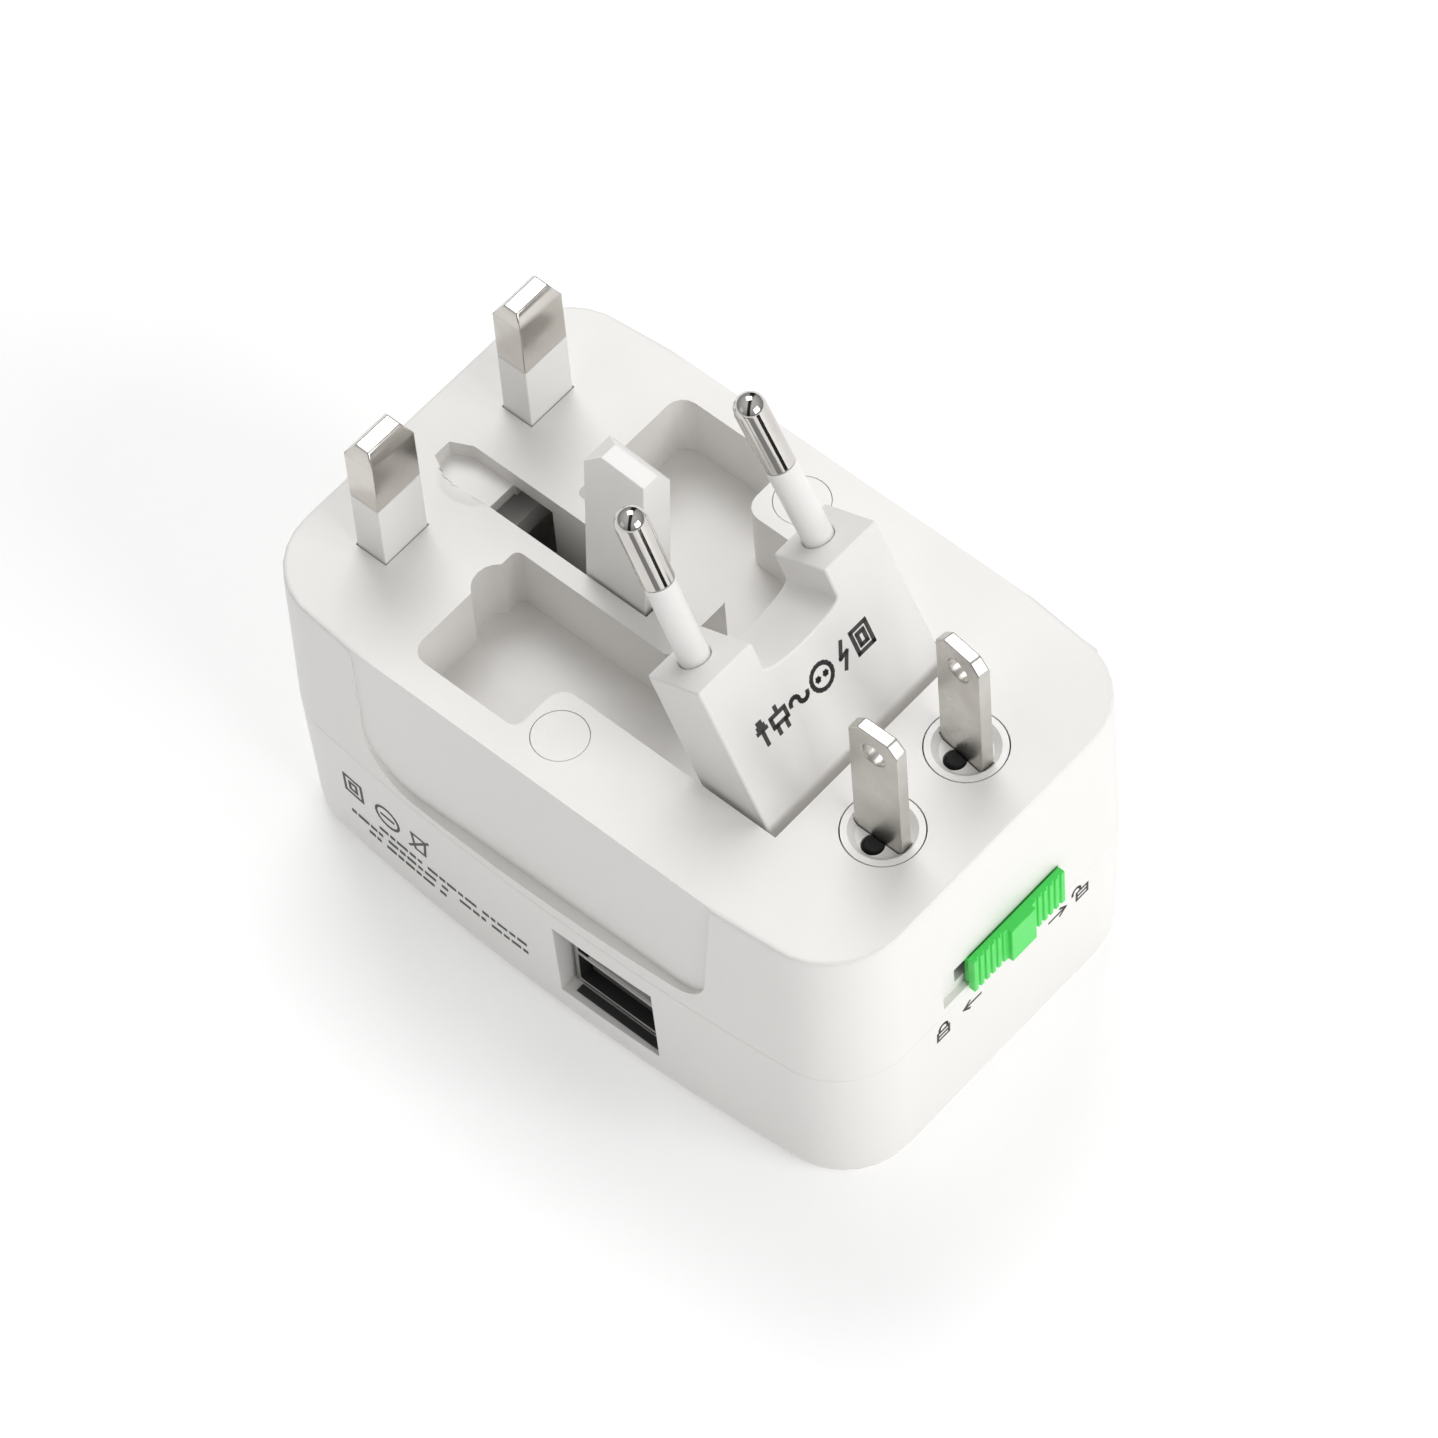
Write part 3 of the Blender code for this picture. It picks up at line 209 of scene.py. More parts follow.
casing_white = moulded("casing_white", (0.815, 0.800, 0.778))
LOWER_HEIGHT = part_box("socket_shell")[1][2]
SEAM_GAP = 0.06 * MM
RIM_Z = LOWER_HEIGHT - 0.05 * MM
SEAM_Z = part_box("plug_shell")[0][2] - SEAM_GAP
lower_half = clean_copy("socket_shell", "lower_casing")
for vertex in lower_half.data.vertices:
    if vertex.co.z > RIM_Z:  # the rim meets the upper half in one thin shadow line
        vertex.co.z = SEAM_Z
soften(lower_half, 0.1 * MM)
fit(lower_half, casing_white, "casing", ["socket_shell"])


# ------------------------------------------------------------------ socket face and shutter
# The socket face is a separate satin plate clipped in from inside, with one universal aperture for
# each pole. A red acetal shutter on a small coil spring closes the live ones from behind.

face_white = moulded("face_white", (0.80, 0.79, 0.77), gloss=(0.45, 0.6), grain=3500, depth=0.35)
shutter_red = moulded("shutter_red", (0.62, 0.04, 0.03), gloss=(0.3, 0.4), depth=0.1)
face_plate = soften(clean_copy("socket_face", "socket_plate"), 0.22 * MM)
fit(face_plate, face_white, "casing", ["socket_face"])
shutter = soften(clean_copy("shutter", "live_shutter_slide"), 0.15 * MM)
fit(shutter, shutter_red, "live_shutter", ["shutter"])


def worked_metal_group():
    """Plated or drawn metal: fine lines along one axis and a cloudy bloom in the plate."""
    tree = bpy.data.node_groups.new("worked_metal", "ShaderNodeTree")
    socket(tree, "Bright", "NodeSocketColor", (0.8, 0.8, 0.8, 1))
    socket(tree, "Dull", "NodeSocketColor", (0.5, 0.5, 0.5, 1))
    socket(tree, "Line stretch", "NodeSocketVector", (1, 1, 0.05))
    socket(tree, "Depth", "NodeSocketFloat", 0.1)
    socket(tree, "Gloss low", "NodeSocketFloat", 0.1)
    socket(tree, "Gloss high", "NodeSocketFloat", 0.3)
    socket(tree, "Colour", "NodeSocketColor", out=True)
    socket(tree, "Roughness", "NodeSocketFloat", out=True)
    socket(tree, "Normal", "NodeSocketVector", out=True)
    node = tree.nodes.new
    link = tree.links.new
    given = node("NodeGroupInput")
    result = node("NodeGroupOutput")
    place = node("ShaderNodeTexCoord")
    pull = node("ShaderNodeVectorMath")
    pull.operation = "MULTIPLY"
    link(place.outputs["Object"], pull.inputs[0])
    link(given.outputs["Line stretch"], pull.inputs[1])
    lines = node("ShaderNodeTexNoise")
    lines.inputs["Scale"].default_value = 9000
    lines.inputs["Detail"].default_value = 2
    link(pull.outputs["Vector"], lines.inputs["Vector"])
    bump = node("ShaderNodeBump")
    bump.inputs["Distance"].default_value = 0.00003
    link(given.outputs["Depth"], bump.inputs["Strength"])
    link(lines.outputs["Fac"], bump.inputs["Height"])
    link(bump.outputs["Normal"], result.inputs["Normal"])
    bloom = node("ShaderNodeTexNoise")
    bloom.inputs["Scale"].default_value = 240
    bloom.inputs["Detail"].default_value = 5
    link(place.outputs["Object"], bloom.inputs["Vector"])
    tone = node("ShaderNodeMix")
    tone.data_type = "RGBA"
    link(bloom.outputs["Fac"], tone.inputs["Factor"])
    link(given.outputs["Bright"], tone.inputs["A"])
    link(given.outputs["Dull"], tone.inputs["B"])
    link(tone.outputs["Result"], result.inputs["Colour"])
    gloss = node("ShaderNodeMapRange")
    link(bloom.outputs["Fac"], gloss.inputs["Value"])
    gloss.inputs["From Min"].default_value = 0.3
    gloss.inputs["From Max"].default_value = 0.7
    link(given.outputs["Gloss low"], gloss.inputs["To Min"])
    link(given.outputs["Gloss high"], gloss.inputs["To Max"])
    link(gloss.outputs["Result"], result.inputs["Roughness"])
    return tree


WORKED_METAL = worked_metal_group()


def metal(name, bright, dull, gloss=(0.12, 0.26), depth=0.12, stretch=(1, 1, 0.06)):
    """A plated or drawn metal, between a bright and a dull tone."""
    values = {
        "Bright": (*bright, 1),
        "Dull": (*dull, 1),
        "Line stretch": stretch,
        "Depth": depth,
        "Gloss low": gloss[0],
        "Gloss high": gloss[1],
    }
    return material(name, WORKED_METAL, {"Metallic": 1}, values)


def refinish(node, finish):
    """A CAD solid kept as it is, in its real finish."""
    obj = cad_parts[node]
    obj.data.materials.clear()
    obj.data.materials.append(finish)


zinc_steel = metal("zinc_steel", (0.62, 0.62, 0.63), (0.45, 0.45, 0.47), gloss=(0.25, 0.45))
refinish("shutter_spring", zinc_steel)


# ------------------------------------------------------------------ contacts and fuse
# Spring jaws are folded from half-hard brass strip and rise to meet a plug's pins. The live side
# runs through a glazed ceramic cartridge fuse with sprung brass clips.

strip_brass = metal("strip_brass", (0.80, 0.60, 0.30), (0.58, 0.40, 0.17), gloss=(0.2, 0.42))
fuse_ceramic = moulded("fuse_ceramic", (0.82, 0.81, 0.78), gloss=(0.12, 0.2), depth=0.05)
for node in ("line_contact", "neutral_contact", "earth_contact", "fuse_clip_inner", "fuse_clip_outer"):
    jaw = soften(clean_copy(node, node + "_strip"), 0.1 * MM)
    fit(jaw, strip_brass, "casing", [node])
refinish("fuse", fuse_ceramic)


def centre_of(node):
    """The middle of a CAD solid's box."""
    low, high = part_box(node)
    return (Vector(low) + Vector(high)) / 2


FUSE_LOW, FUSE_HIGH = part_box("fuse")
BAND_RADIUS = 3.2 * MM
BAND_LENGTH = 6 * MM
for name, start in (
    ("fuse_band_inner", FUSE_LOW[0] + 0.05 * MM),
    ("fuse_band_outer", FUSE_HIGH[0] - BAND_LENGTH),
):
    bm = bmesh.new()
    turn = Matrix.Rotation(math.pi / 2, 4, "Y")
    middle = Matrix.Translation((start + BAND_LENGTH / 2, *centre_of("fuse").yz))
    bmesh.ops.create_cone(
        bm, segments=40, radius1=BAND_RADIUS, radius2=BAND_RADIUS, depth=BAND_LENGTH
    )
    bmesh.ops.solidify(bm, geom=bm.faces[:], thickness=0.03 * MM)
    bmesh.ops.transform(bm, matrix=middle @ turn, verts=bm.verts)
    bmesh.ops.recalc_face_normals(bm, faces=bm.faces)
    fit(solid(name, bm), strip_brass, "casing", [])


# ------------------------------------------------------------------ USB supply
# A green glass-fibre board carries a taped transformer, two electrolytic cans and a stacked USB
# connector, whose nickelled steel shell holds two black tongues with four gold strips each.

board_green = moulded(
    "board_green", (0.02, 0.16, 0.06), gloss=(0.25, 0.4), grain=2500, depth=0.5, drift=0.5
)
tape_yellow = moulded("tape_yellow", (0.72, 0.50, 0.06), gloss=(0.25, 0.4), grain=1200, depth=0.5)
can_sleeve = moulded("can_sleeve", (0.03, 0.035, 0.05), gloss=(0.2, 0.35), depth=0.1)
# Black for the tongues, and also used as painted shade inside the USB port.
tongue_and_shade_black = moulded("tongue_and_shade_black", (0.03, 0.03, 0.03), gloss=(0.4, 0.55))
shell_nickel = metal(
    "shell_nickel", (0.46, 0.45, 0.43), (0.28, 0.27, 0.26), gloss=(0.22, 0.4), stretch=(0.06, 1, 1)
)
contact_gold = metal("contact_gold", (0.86, 0.62, 0.24), (0.70, 0.46, 0.16), stretch=(1, 0.06, 1))
for node, finish, slot in (
    ("usb_board", board_green, "circuit_board"),
    ("transformer", tape_yellow, "tape_yellow"),
    ("input_capacitor", can_sleeve, "dark_grey"),
    ("output_capacitor", can_sleeve, "dark_grey"),
    ("usb_connector", shell_nickel, "nickel"),
    ("usb_tongue_1", tongue_and_shade_black, "dark_grey"),
    ("usb_tongue_2", tongue_and_shade_black, "dark_grey"),
):
    piece = soften(clean_copy(node, node + "_piece"), 0.12 * MM)
    fit(piece, finish, "casing", [node])


def row_tree():
    """A straight row of equal blocks: strips, ribs or teeth."""
    tree = bpy.data.node_groups.new("block_row", "GeometryNodeTree")
    socket(tree, "Geometry", "NodeSocketGeometry")
    socket(tree, "Count", "NodeSocketInt", 4)
    socket(tree, "Start", "NodeSocketVector")
    socket(tree, "Step", "NodeSocketVector")
    socket(tree, "Size", "NodeSocketVector")
    socket(tree, "Finish", "NodeSocketMaterial")
    socket(tree, "Geometry", "NodeSocketGeometry", out=True)
    node = tree.nodes.new
    link = tree.links.new
    given = node("NodeGroupInput")
    line = node("GeometryNodeMeshLine")
    link(given.outputs["Count"], line.inputs["Count"])
    link(given.outputs["Start"], line.inputs["Start Location"])
    link(given.outputs["Step"], line.inputs["Offset"])
    block = node("GeometryNodeMeshCube")
    link(given.outputs["Size"], block.inputs["Size"])
    spread = node("GeometryNodeInstanceOnPoints")
    link(line.outputs["Mesh"], spread.inputs["Points"])
    link(block.outputs["Mesh"], spread.inputs["Instance"])
    real = node("GeometryNodeRealizeInstances")
    link(spread.outputs["Instances"], real.inputs["Geometry"])
    coat = node("GeometryNodeSetMaterial")
    link(real.outputs["Geometry"], coat.inputs["Geometry"])
    link(given.outputs["Finish"], coat.inputs["Material"])
    result = node("NodeGroupOutput")
    link(coat.outputs["Geometry"], result.inputs["Geometry"])
    return tree


BLOCK_ROW = row_tree()


def block_row(name, count, start, step, size, finish):
    obj = solid(name, bmesh.new())
    rows = obj.modifiers.new("row", "NODES")
    rows.node_group = BLOCK_ROW
    values = {"Count": count, "Start": start, "Step": step, "Size": size, "Finish": finish}
    for item in BLOCK_ROW.interface.items_tree:
        if item.in_out == "INPUT" and item.name in values:
            rows[item.identifier] = values[item.name]
    return plain(obj)


def block(name, low, high, place=Matrix.Identity(4)):
    """A plain block between two corners."""
    low = Vector(low)
    high = Vector(high)
    bm = bmesh.new()
    room = Matrix.Translation((low + high) / 2) @ Matrix.Diagonal((*(high - low), 1))
    bmesh.ops.create_cube(bm, size=1, matrix=place @ room)
    return solid(name, bm)


# Behind its bright front edge the connector's shell is painted black: painted shade deep in the port.
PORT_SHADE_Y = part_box("usb_connector")[0][1] + 0.2 * MM
connector = bpy.data.objects["usb_connector_piece"]
connector.data.materials.append(tongue_and_shade_black)
for face in connector.data.polygons:
    if face.center.y > PORT_SHADE_Y:
        face.material_index = 1
# White standing in for light falling on the upper port's floor: painted light.
painted_light_white = moulded("painted_light_white", (0.72, 0.71, 0.69), gloss=(0.4, 0.5), depth=0.2)
# A thin black sheet on the white ledge below the port: painted shade.
sill_shade = block("usb_sill_painted_shade", Vector((2.6, -24.45, 4.93)) * MM, Vector((14.3, -23.45, 5.1)) * MM)
fit(soften(sill_shade, 0.04 * MM), tongue_and_shade_black, "casing", [])
# A thin white plate on the upper port's floor: painted light.
lit_port_floor = block("usb_port_painted_light", Vector((3.7, -23.3, 11.18)) * MM, Vector((13.25, -20.8, 11.3)) * MM)
fit(soften(lit_port_floor, 0.04 * MM), painted_light_white, "casing", [])
STRIP_PITCH = 2.3 * MM
STRIP_SIZE = (1.1 * MM, 6.4 * MM, 0.06 * MM)
STRIP_Y = 3.6 * MM
for number in (1, 2):
    low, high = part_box(f"usb_tongue_{number}")
    start = Vector(((low[0] + high[0]) / 2 - 1.5 * STRIP_PITCH, low[1] + STRIP_Y, high[2]))
    strips = block_row(
        f"usb_strips_{number}", 4, start, (STRIP_PITCH, 0, 0), STRIP_SIZE, contact_gold
    )
    fit(strips, contact_gold, "casing", [])

light_red = moulded("light_red", (0.55, 0.03, 0.02), gloss=(0.1, 0.18), depth=0.03)
lens = soften(clean_copy("power_light", "power_light_lens"), 0.2 * MM)
fit(lens, light_red, "casing", ["power_light"])


# ------------------------------------------------------------------ upper casing half
# The plug-side half, moulded in the same white. Its deck holds the bays for the folded round-pin
# block and the slot for the earth pin, with a thumb scoop beside the pin's resting place.


def carve(obj, cutter):
    step = obj.modifiers.new("carve", "BOOLEAN")
    step.operation = "DIFFERENCE"
    step.solver = "EXACT"
    step.object = cutter
    plain(obj)
    bpy.data.objects.remove(cutter)
    return obj


def ball(name, centre, radii):
    """A sphere drawn out to three radii."""
    bm = bmesh.new()
    place = Matrix.Translation(centre) @ Matrix.Diagonal((*radii, 1))
    bmesh.ops.create_uvsphere(bm, u_segments=48, v_segments=24, radius=1, matrix=place)
    return solid(name, bm)


upper_half = clean_copy("plug_shell", "upper_casing")
soften(upper_half, 0.22 * MM)
END_X, HALF_WIDTH, DECK_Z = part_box("plug_shell")[1]
SCOOP_CENTRE = (-29.8 * MM, -1.9 * MM, DECK_Z + 4 * MM)
SCOOP_RADII = (7.6 * MM, 5.0 * MM, 4.55 * MM)
carve(upper_half, ball("thumb_scoop", SCOOP_CENTRE, SCOOP_RADII))
shade(upper_half)
fit(upper_half, casing_white, "casing", ["plug_shell"])
for node in ("screw_cap_near", "screw_cap_far"):
    cap = soften(clean_copy(node, node + "_disc"), 0.08 * MM)
    fit(cap, casing_white, "casing", [node])
for node in ("case_screw_near", "case_screw_far", "earth_axle", "eu_axle"):
    refinish(node, zinc_steel)


# ------------------------------------------------------------------ UK pins
# Two rectangular brass pins, nickel plated, with their lower part in a white insulating sleeve.
# Both are pressed into one carriage, which the knob on the far side draws in.

pin_nickel = metal("pin_nickel", (0.68, 0.655, 0.615), (0.50, 0.475, 0.44), gloss=(0.14, 0.26))
sleeve_white = moulded("sleeve_white", (0.83, 0.82, 0.80), gloss=(0.3, 0.42), depth=0.12)
for node in ("uk_line_pin", "uk_neutral_pin"):
    fit(soften(clean_copy(node, node + "_plated"), 0.16 * MM, 3), pin_nickel, "uk_pins", [node])
for node in ("uk_line_sleeve", "uk_neutral_sleeve"):
    sleeve = soften(clean_copy(node, node + "_moulded"), 0.15 * MM)
    fit(sleeve, sleeve_white, "uk_pins", [node])
for node, body in (
    ("uk_carriage", "uk_pins"),
    ("uk_knob", "uk_pins"),
    ("us_carriage", "us_slide"),
    ("us_knob", "us_slide"),
):
    fit(soften(clean_copy(node, node + "_moulded"), 0.2 * MM), casing_white, body, [node])


# ------------------------------------------------------------------ US and AU blades
# Flat nickel-plated brass blades with a round detent hole, each in a white turntable that turns
# with its blade for the slanted Australian pattern. A black disc in the hole beside it is painted shade.

# Near-black for the disc in the hole beside each blade: painted shade.
hole_shade_black = moulded("hole_shade_black", (0.009, 0.009, 0.009), gloss=(0.7, 0.85), depth=0.3)
turntable_white = moulded("turntable_white", (0.82, 0.81, 0.79), gloss=(0.3, 0.44), depth=0.15)
HOLE_SHADE_RADIUS = 1.05 * MM
HOLE_SHADE_HEIGHT = 1.2 * MM
HOLE_SHADE_Y = -1.3 * MM
HOLE_SHADE_Z = DECK_Z - 1.4 * MM
BLADE_ROOM = Vector((7, 1.8, 9)) * MM
BLADE_TURN = {"front": 0, "rear": math.radians(-7)}
blade_nickel = metal("blade_nickel", (0.66, 0.645, 0.61), (0.50, 0.48, 0.45), gloss=(0.25, 0.36))
for end in ("front", "rear"):
    body = "us_" + end
    rotor = soften(clean_copy(f"us_{end}_rotor", f"turntable_{end}"), 0.16 * MM)
    fit(rotor, turntable_white, body, [f"us_{end}_rotor"])
    blade = soften(clean_copy(f"us_{end}_blade", f"blade_{end}"), 0.22 * MM, 3)
    fit(blade, blade_nickel, body, [f"us_{end}_blade"])
    centre = centre_of(f"us_{end}_rotor")
    turned = Matrix.Rotation(BLADE_TURN[end], 4, "Z")
    middle = Matrix.Translation((centre.x, centre.y, HOLE_SHADE_Z)) @ turned
    # The black disc in the hole beside the blade, clear of the blade: painted shade.
    bm = bmesh.new()
    bmesh.ops.create_cone(
        bm, cap_ends=True, segments=32, radius1=HOLE_SHADE_RADIUS, radius2=HOLE_SHADE_RADIUS, depth=HOLE_SHADE_HEIGHT
    )
    bmesh.ops.bevel(bm, geom=bm.edges[:], offset=0.08 * MM, segments=2, affect="EDGES")
    bmesh.ops.transform(bm, matrix=middle @ Matrix.Translation((0, HOLE_SHADE_Y, 0)), verts=bm.verts)
    room = block("blade_room", BLADE_ROOM * -0.5, BLADE_ROOM * 0.5, middle)
    hole_shade = carve(solid(f"painted_hole_shade_{end}", bm), room)
    fit(hole_shade, hole_shade_black, body, [])


# ------------------------------------------------------------------ round-pin block
# The fold-out block for round-pin sockets: a white moulding that turns on a steel axle. Two 4 mm
# pins stand in it, each a bright domed tip above a white sleeve that is slightly slimmer.

pin_bright = metal("pin_bright", (0.66, 0.64, 0.61), (0.52, 0.50, 0.48), gloss=(0.05, 0.1), depth=0.04)
eu_block = soften(clean_copy("eu_block", "round_pin_block"), 0.3 * MM, 3, clamped=False)
fit(eu_block, casing_white, "eu_plug", ["eu_block"])
for end in ("front", "rear"):
    pin = soften(clean_copy(f"eu_{end}_pin", f"round_pin_{end}"), 0.1 * MM)
    fit(pin, pin_bright, "eu_plug", [f"eu_{end}_pin"])
    sleeve = soften(clean_copy(f"eu_{end}_sleeve", f"round_sleeve_{end}"), 0.12 * MM)
    fit(sleeve, sleeve_white, "eu_plug", [f"eu_{end}_sleeve"])


# ------------------------------------------------------------------ earth pin
# A solid plastic dummy earth pin that opens the shutters of a UK socket. It is moulded in white,
# turns on a thin steel axle and folds down into its slot.

earth_pin = soften(clean_copy("earth_pin", "earth_pin_moulded"), 0.25 * MM, 3)
fit(earth_pin, sleeve_white, "earth", ["earth_pin"])


# ------------------------------------------------------------------ lock slider
# A bright green acetal slider with ribbed ends and a plain middle pad. A bar behind the wall moves
# with it and keeps the other pins in, and a leaf spring clicks it into either end.

slider_green = moulded("slider_green", (0.05, 0.71, 0.09), gloss=(0.3, 0.42), depth=0.15, drift=0.12)
slider = soften(clean_copy("lock_slider", "slider_green_pad"), 0.13 * MM, 2)
fit(slider, slider_green, "lock", ["lock_slider"])
bar = soften(clean_copy("lock_bar", "lock_bar_moulded"), 0.2 * MM)
fit(bar, casing_white, "lock", ["lock_bar"])
refinish("lock_spring", zinc_steel)


# ------------------------------------------------------------------ printed marks
# Black pad-printed marks a few hundredths of a millimetre thick: electrical pictograms on the
# round-pin block, padlocks and arrows by the slider, and plain rows of dashes on the USB side.


def ink(name, colour):
    return moulded(name, colour, gloss=(0.5, 0.65), grain=9000, depth=0.2, drift=0.3)


print_black = ink("print_black", (0.035, 0.034, 0.033))
print_grey = ink("print_grey", (0.07, 0.07, 0.068))
INK = 0.02 * MM


def ring(x, y, radius, start=0, end=360, steps=18):
    points = []
    for step in range(steps + 1):
        angle = math.radians(start + (end - start) * step / steps)
        points.append((x + radius * math.cos(angle), y + radius * math.sin(angle)))
    return points


def frame_line(x, y, half_x, half_y):
    signs = ((-1, -1), (1, -1), (1, 1), (-1, 1), (-1, -1))
    return [(x + i * half_x, y + j * half_y) for i, j in signs]


def print_marks(name, strokes, width, surface, finish, body):
    """Strokes in millimetres, laid on a surface given as surface(across, up, height)."""
    bm = bmesh.new()
    for stroke in strokes:
        for (x0, y0), (x1, y1) in zip(stroke, stroke[1:]):
            along = Vector((x1 - x0, y1 - y0))
            length = max(along.length, 1e-6)
            unit = along / length
            side = Vector((-unit.y, unit.x)) * width / 2
            tip = unit * width * 0.42
            flat = [
                Vector((x0, y0)) - tip - side,
                Vector((x1, y1)) + tip - side,
                Vector((x1, y1)) + tip + side,
                Vector((x0, y0)) - tip + side,
            ]
            low = [bm.verts.new(surface(p.x * MM, p.y * MM, -2 * INK)) for p in flat]
            high = [bm.verts.new(surface(p.x * MM, p.y * MM, INK)) for p in flat]
            bm.faces.new(low[::-1])
            bm.faces.new(high)
            for i in range(4):
                j = (i + 1) % 4
                bm.faces.new((low[i], low[j], high[j], high[i]))
    bmesh.ops.recalc_face_normals(bm, faces=bm.faces)
    fit(solid(name, bm), finish, body, [])


EU_TILT = math.radians(-25.5)
EU_TURN = Matrix.Translation(centre_of("eu_axle")) @ Matrix.Rotation(EU_TILT, 4, "Y")
BLOCK_FACE_X = 4.2 * MM
BLOCK_MIDDLE_Z = 11.1 * MM


def block_face(across, up, height):
    """The face of the round-pin block: across runs towards -Y, up towards the hinge."""
    return EU_TURN @ Vector((BLOCK_FACE_X + height, -across, BLOCK_MIDDLE_Z - up))


prongs = [[(4.5, 1.5), (4.5, 0.5)], [(5.7, 1.5), (5.7, 0.5)]]
earth_bars = [[(7.5 - half, y), (7.5 + half, y)] for half, y in ((0.6, -0.4), (0.4, -0.9), (0.2, -1.4))]
pictograms = [
    [frame_line(-7.4, 0, 1.1, 1.4), frame_line(-7.4, 0, 0.45, 0.7)],
    [[(-4.2, 1.5), (-5.1, -0.1), (-4.1, 0.1), (-4.9, -1.5)]],
    [ring(-1.3, 0, 1.45), ring(-1.85, 0, 0.12, steps=6), ring(-0.75, 0, 0.12, steps=6)],
    [ring(1.55, 0, 0.6, 180, 0, 8) + ring(2.75, 0, 0.6, 180, 360, 8)],
    prongs + [frame_line(5.1, -0.1, 1.0, 0.6), [(5.1, -0.7), (5.1, -1.5)]],
    [[(7.5, 1.4), (7.5, -0.3)]] + earth_bars,
]
strokes = [[(x + 1.4, y) for x, y in stroke] for symbol in pictograms for stroke in symbol]
print_marks("block_pictograms", strokes, 0.5, block_face, print_black, "eu_plug")


DRAFT = 0.5 * MM


def end_face(across, up, height):
    """The end with the slider, leaning in towards the bottom: across runs towards +Y."""
    lean = DRAFT * (1 - up / LOWER_HEIGHT) if up < LOWER_HEIGHT else 0
    return Vector((END_X - lean + height, across, up))


def padlock(y, z, opened):
    swing = 0.9 if opened else 0
    shackle = [(y - 0.6 - swing, z + (0.55 if opened else 0.4))] + ring(y - swing, z + 0.8, 0.6, 180, 0, 8)
    body = frame_line(y, z - 0.35, 0.85, 0.7)
    keyhole = [(y - 0.6, z - 0.35), (y + 0.6, z - 0.35)]
    return [shackle + [(y + 0.6 - swing, z + 0.4)], body, keyhole]


arrow = [[(-6.2, 17.2), (-3.6, 17.2)], [(-5.3, 17.9), (-6.2, 17.2), (-5.3, 16.5)]]
arrow_back = [[(7.2, 17.2), (9.8, 17.2)], [(8.9, 17.9), (9.8, 17.2), (8.9, 16.5)]]
lock_marks = padlock(-9.4, 17.2, False) + padlock(12.4, 17.2, True) + arrow + arrow_back
print_marks("lock_pictograms", lock_marks, 0.32, end_face, print_black, "casing")


BOW = 1.6 * MM
BOW_REACH = 31.2 * MM
LIFT = 0.01 * MM


def usb_side(across, up, height):
    """The bowed side with the USB opening: across runs towards +X."""
    y = HALF_WIDTH - BOW * (across / BOW_REACH) ** 2
    draw = 1 - (1 - up / LOWER_HEIGHT) * (DRAFT / HALF_WIDTH)
    return Vector((across, -y * draw - height - LIFT, up))


side_marks = [frame_line(-28.2, 13.0, 1.3, 1.5), frame_line(-28.2, 13.0, 0.5, 0.65)]
side_marks += [ring(-23.0, 12.8, 1.7), [(-23.9, 12.8), (-22.1, 12.8)]]
side_marks += [[(-19.2, 14.2), (-17.2, 14.2), (-17.5, 11.4), (-18.9, 11.4), (-19.2, 14.2)]]
side_marks += [[(-19.8, 11.2), (-16.7, 14.6)]]
ROWS = ((-24.5, -2.9, 9.1), (-29.0, -14.2, 7.6), (-12.7, -3.2, 7.6), (-26.5, -15.0, 6.1))
dashes = []
for row, (start, end, z) in enumerate(ROWS):
    x = start
    step = row
    while x < end:
        length = (0.9, 0.3, 1.2, 0.5, 0.2, 1.0, 0.4)[step % 7]
        dashes.append([(x, z), (x + length, z)])
        x += length + (1.3 if step % 5 == 4 else 0.72)
        step += 1
print_marks("side_dashes", dashes, 0.48, usb_side, print_grey, "casing")
print_marks("side_pictograms", side_marks, 0.32, usb_side, print_grey, "casing")


# ------------------------------------------------------------------ stage, light and camera
# A plain pale sheet under the adapter and soft studio light: a large key from the slider end,
# a weak fill from the USB side, and a sky that is brighter overhead.

SHEET_REACH = 3
bm = bmesh.new()
bmesh.ops.create_grid(bm, x_segments=1, y_segments=1, size=SHEET_REACH)
sheet = solid("sheet", bm)
sheet.location.z = -0.02 * MM
paper = bpy.data.materials.new("pale_paper")  # slightly lit from behind, as a light table is
paper.use_nodes = True
shader = paper.node_tree.nodes["Principled BSDF"]
shader.inputs["Base Color"].default_value = (0.93, 0.93, 0.93, 1)
shader.inputs["Roughness"].default_value = 0.9
shader.inputs["Specular IOR Level"].default_value = 0.1
shader.inputs["Emission Color"].default_value = (1, 1, 1, 1)
shader.inputs["Emission Strength"].default_value = 0.19
sheet.data.materials.append(paper)

world = bpy.data.worlds.new("studio")
bpy.context.scene.world = world
world.use_nodes = True
nodes = world.node_tree.nodes
links = world.node_tree.links
direction = nodes.new("ShaderNodeTexCoord")
parts = nodes.new("ShaderNodeSeparateXYZ")
links.new(direction.outputs["Generated"], parts.inputs["Vector"])
rise = nodes.new("ShaderNodeMapRange")
rise.inputs["From Min"].default_value = -0.1
rise.inputs["From Max"].default_value = 0.9
rise.inputs["To Min"].default_value = 0.22
rise.inputs["To Max"].default_value = 0.68
links.new(parts.outputs["Z"], rise.inputs["Value"])
# A narrow dark flag stands in the sky, so that round metal shows a dark line beside its highlight.
across = nodes.new("ShaderNodeVectorMath")
across.operation = "DOT_PRODUCT"
across.inputs[1].default_value = (0.86, 0.5, 0)
links.new(direction.outputs["Generated"], across.inputs[0])
width = nodes.new("ShaderNodeMath")
width.operation = "ABSOLUTE"
links.new(across.outputs["Value"], width.inputs[0])
flag = nodes.new("ShaderNodeMapRange")
flag.interpolation_type = "SMOOTHSTEP"
flag.inputs["From Min"].default_value = 0.12
flag.inputs["From Max"].default_value = 0.24
flag.inputs["To Min"].default_value = 0.05
flag.inputs["To Max"].default_value = 1
links.new(width.outputs[0], flag.inputs["Value"])
sky = nodes.new("ShaderNodeMath")
sky.operation = "MULTIPLY"
links.new(rise.outputs["Result"], sky.inputs[0])
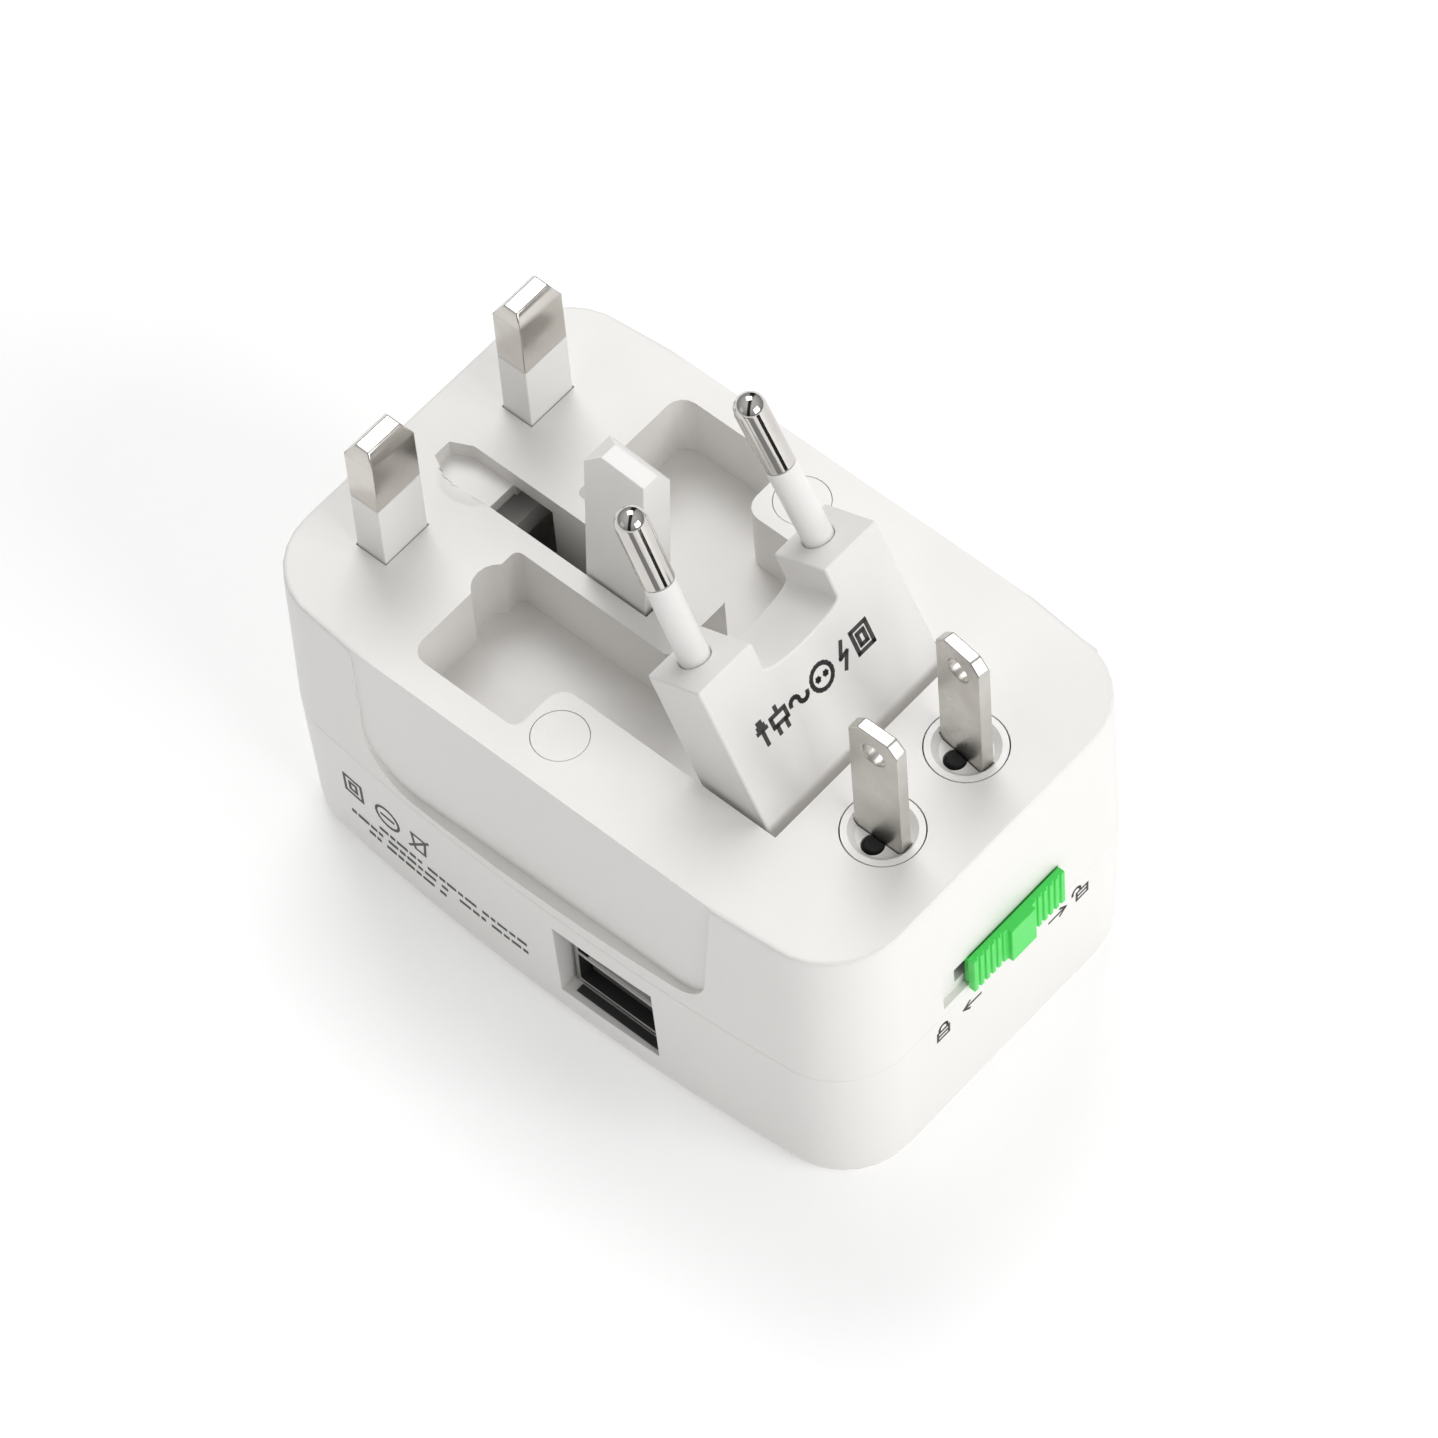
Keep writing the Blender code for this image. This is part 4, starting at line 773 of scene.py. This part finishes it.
links.new(flag.outputs["Result"], sky.inputs[1])
links.new(sky.outputs[0], nodes["Background"].inputs["Strength"])
nodes["Background"].inputs["Color"].default_value = (1, 1, 1, 1)


def softbox(name, place, size, power):
    lamp = bpy.data.lights.new(name, "AREA")
    lamp.shape = "RECTANGLE"
    lamp.size = size[0]
    lamp.size_y = size[1]
    lamp.energy = power
    obj = bpy.data.objects.new(name, lamp)
    bpy.context.scene.collection.objects.link(obj)
    obj.location = place
    aim = Vector((0, 0, 0.03)) - Vector(place)
    obj.rotation_euler = aim.to_track_quat("-Z", "Y").to_euler()


softbox("key", (0.80, 0.05, 0.45), (0.6, 0.5), 4.2)
softbox("fill", (-0.35, -0.85, 0.35), (0.5, 0.4), 0.2)
softbox("overhead", (-0.36, 0.34, 0.82), (0.5, 0.5), 3.7)


def card(name, low, high, tone):
    """A studio card that only bright surfaces reflect: cameras and shadows don't see it."""
    board = block(name, low, high)
    finish = bpy.data.materials.new(name + "_paint")
    finish.use_nodes = True
    shader = finish.node_tree.nodes["Principled BSDF"]
    shader.inputs["Base Color"].default_value = (tone, tone, tone, 1)
    shader.inputs["Roughness"].default_value = 0.9
    board.data.materials.append(finish)
    board.visible_camera = False
    board.visible_diffuse = False
    board.visible_shadow = False


card("black_card", (0.25, -0.06, 0.001), (0.252, 0.026, 0.045), 0.01)
card("grey_card", (0.07, -0.26, 0.001), (0.22, -0.07, 0.003), 0.30)

bpy.context.scene.view_settings.view_transform = "Standard"

camera_data = bpy.data.cameras.new("camera")
camera_data.lens = 202.6
camera_data.sensor_width = 36
camera_data.clip_end = 20
camera = bpy.data.objects.new("camera", camera_data)
bpy.context.scene.collection.objects.link(camera)
right = Vector((0.75052, 0.65889, -0.05087))
up = Vector((-0.53073, 0.64682, 0.54767))
back = Vector((0.39376, -0.38404, 0.83514))
turn = Matrix((right, up, back)).transposed().to_4x4()
camera.matrix_world = Matrix.Translation((0.32815, -0.31787, 0.71827)) @ turn
bpy.context.scene.camera = camera
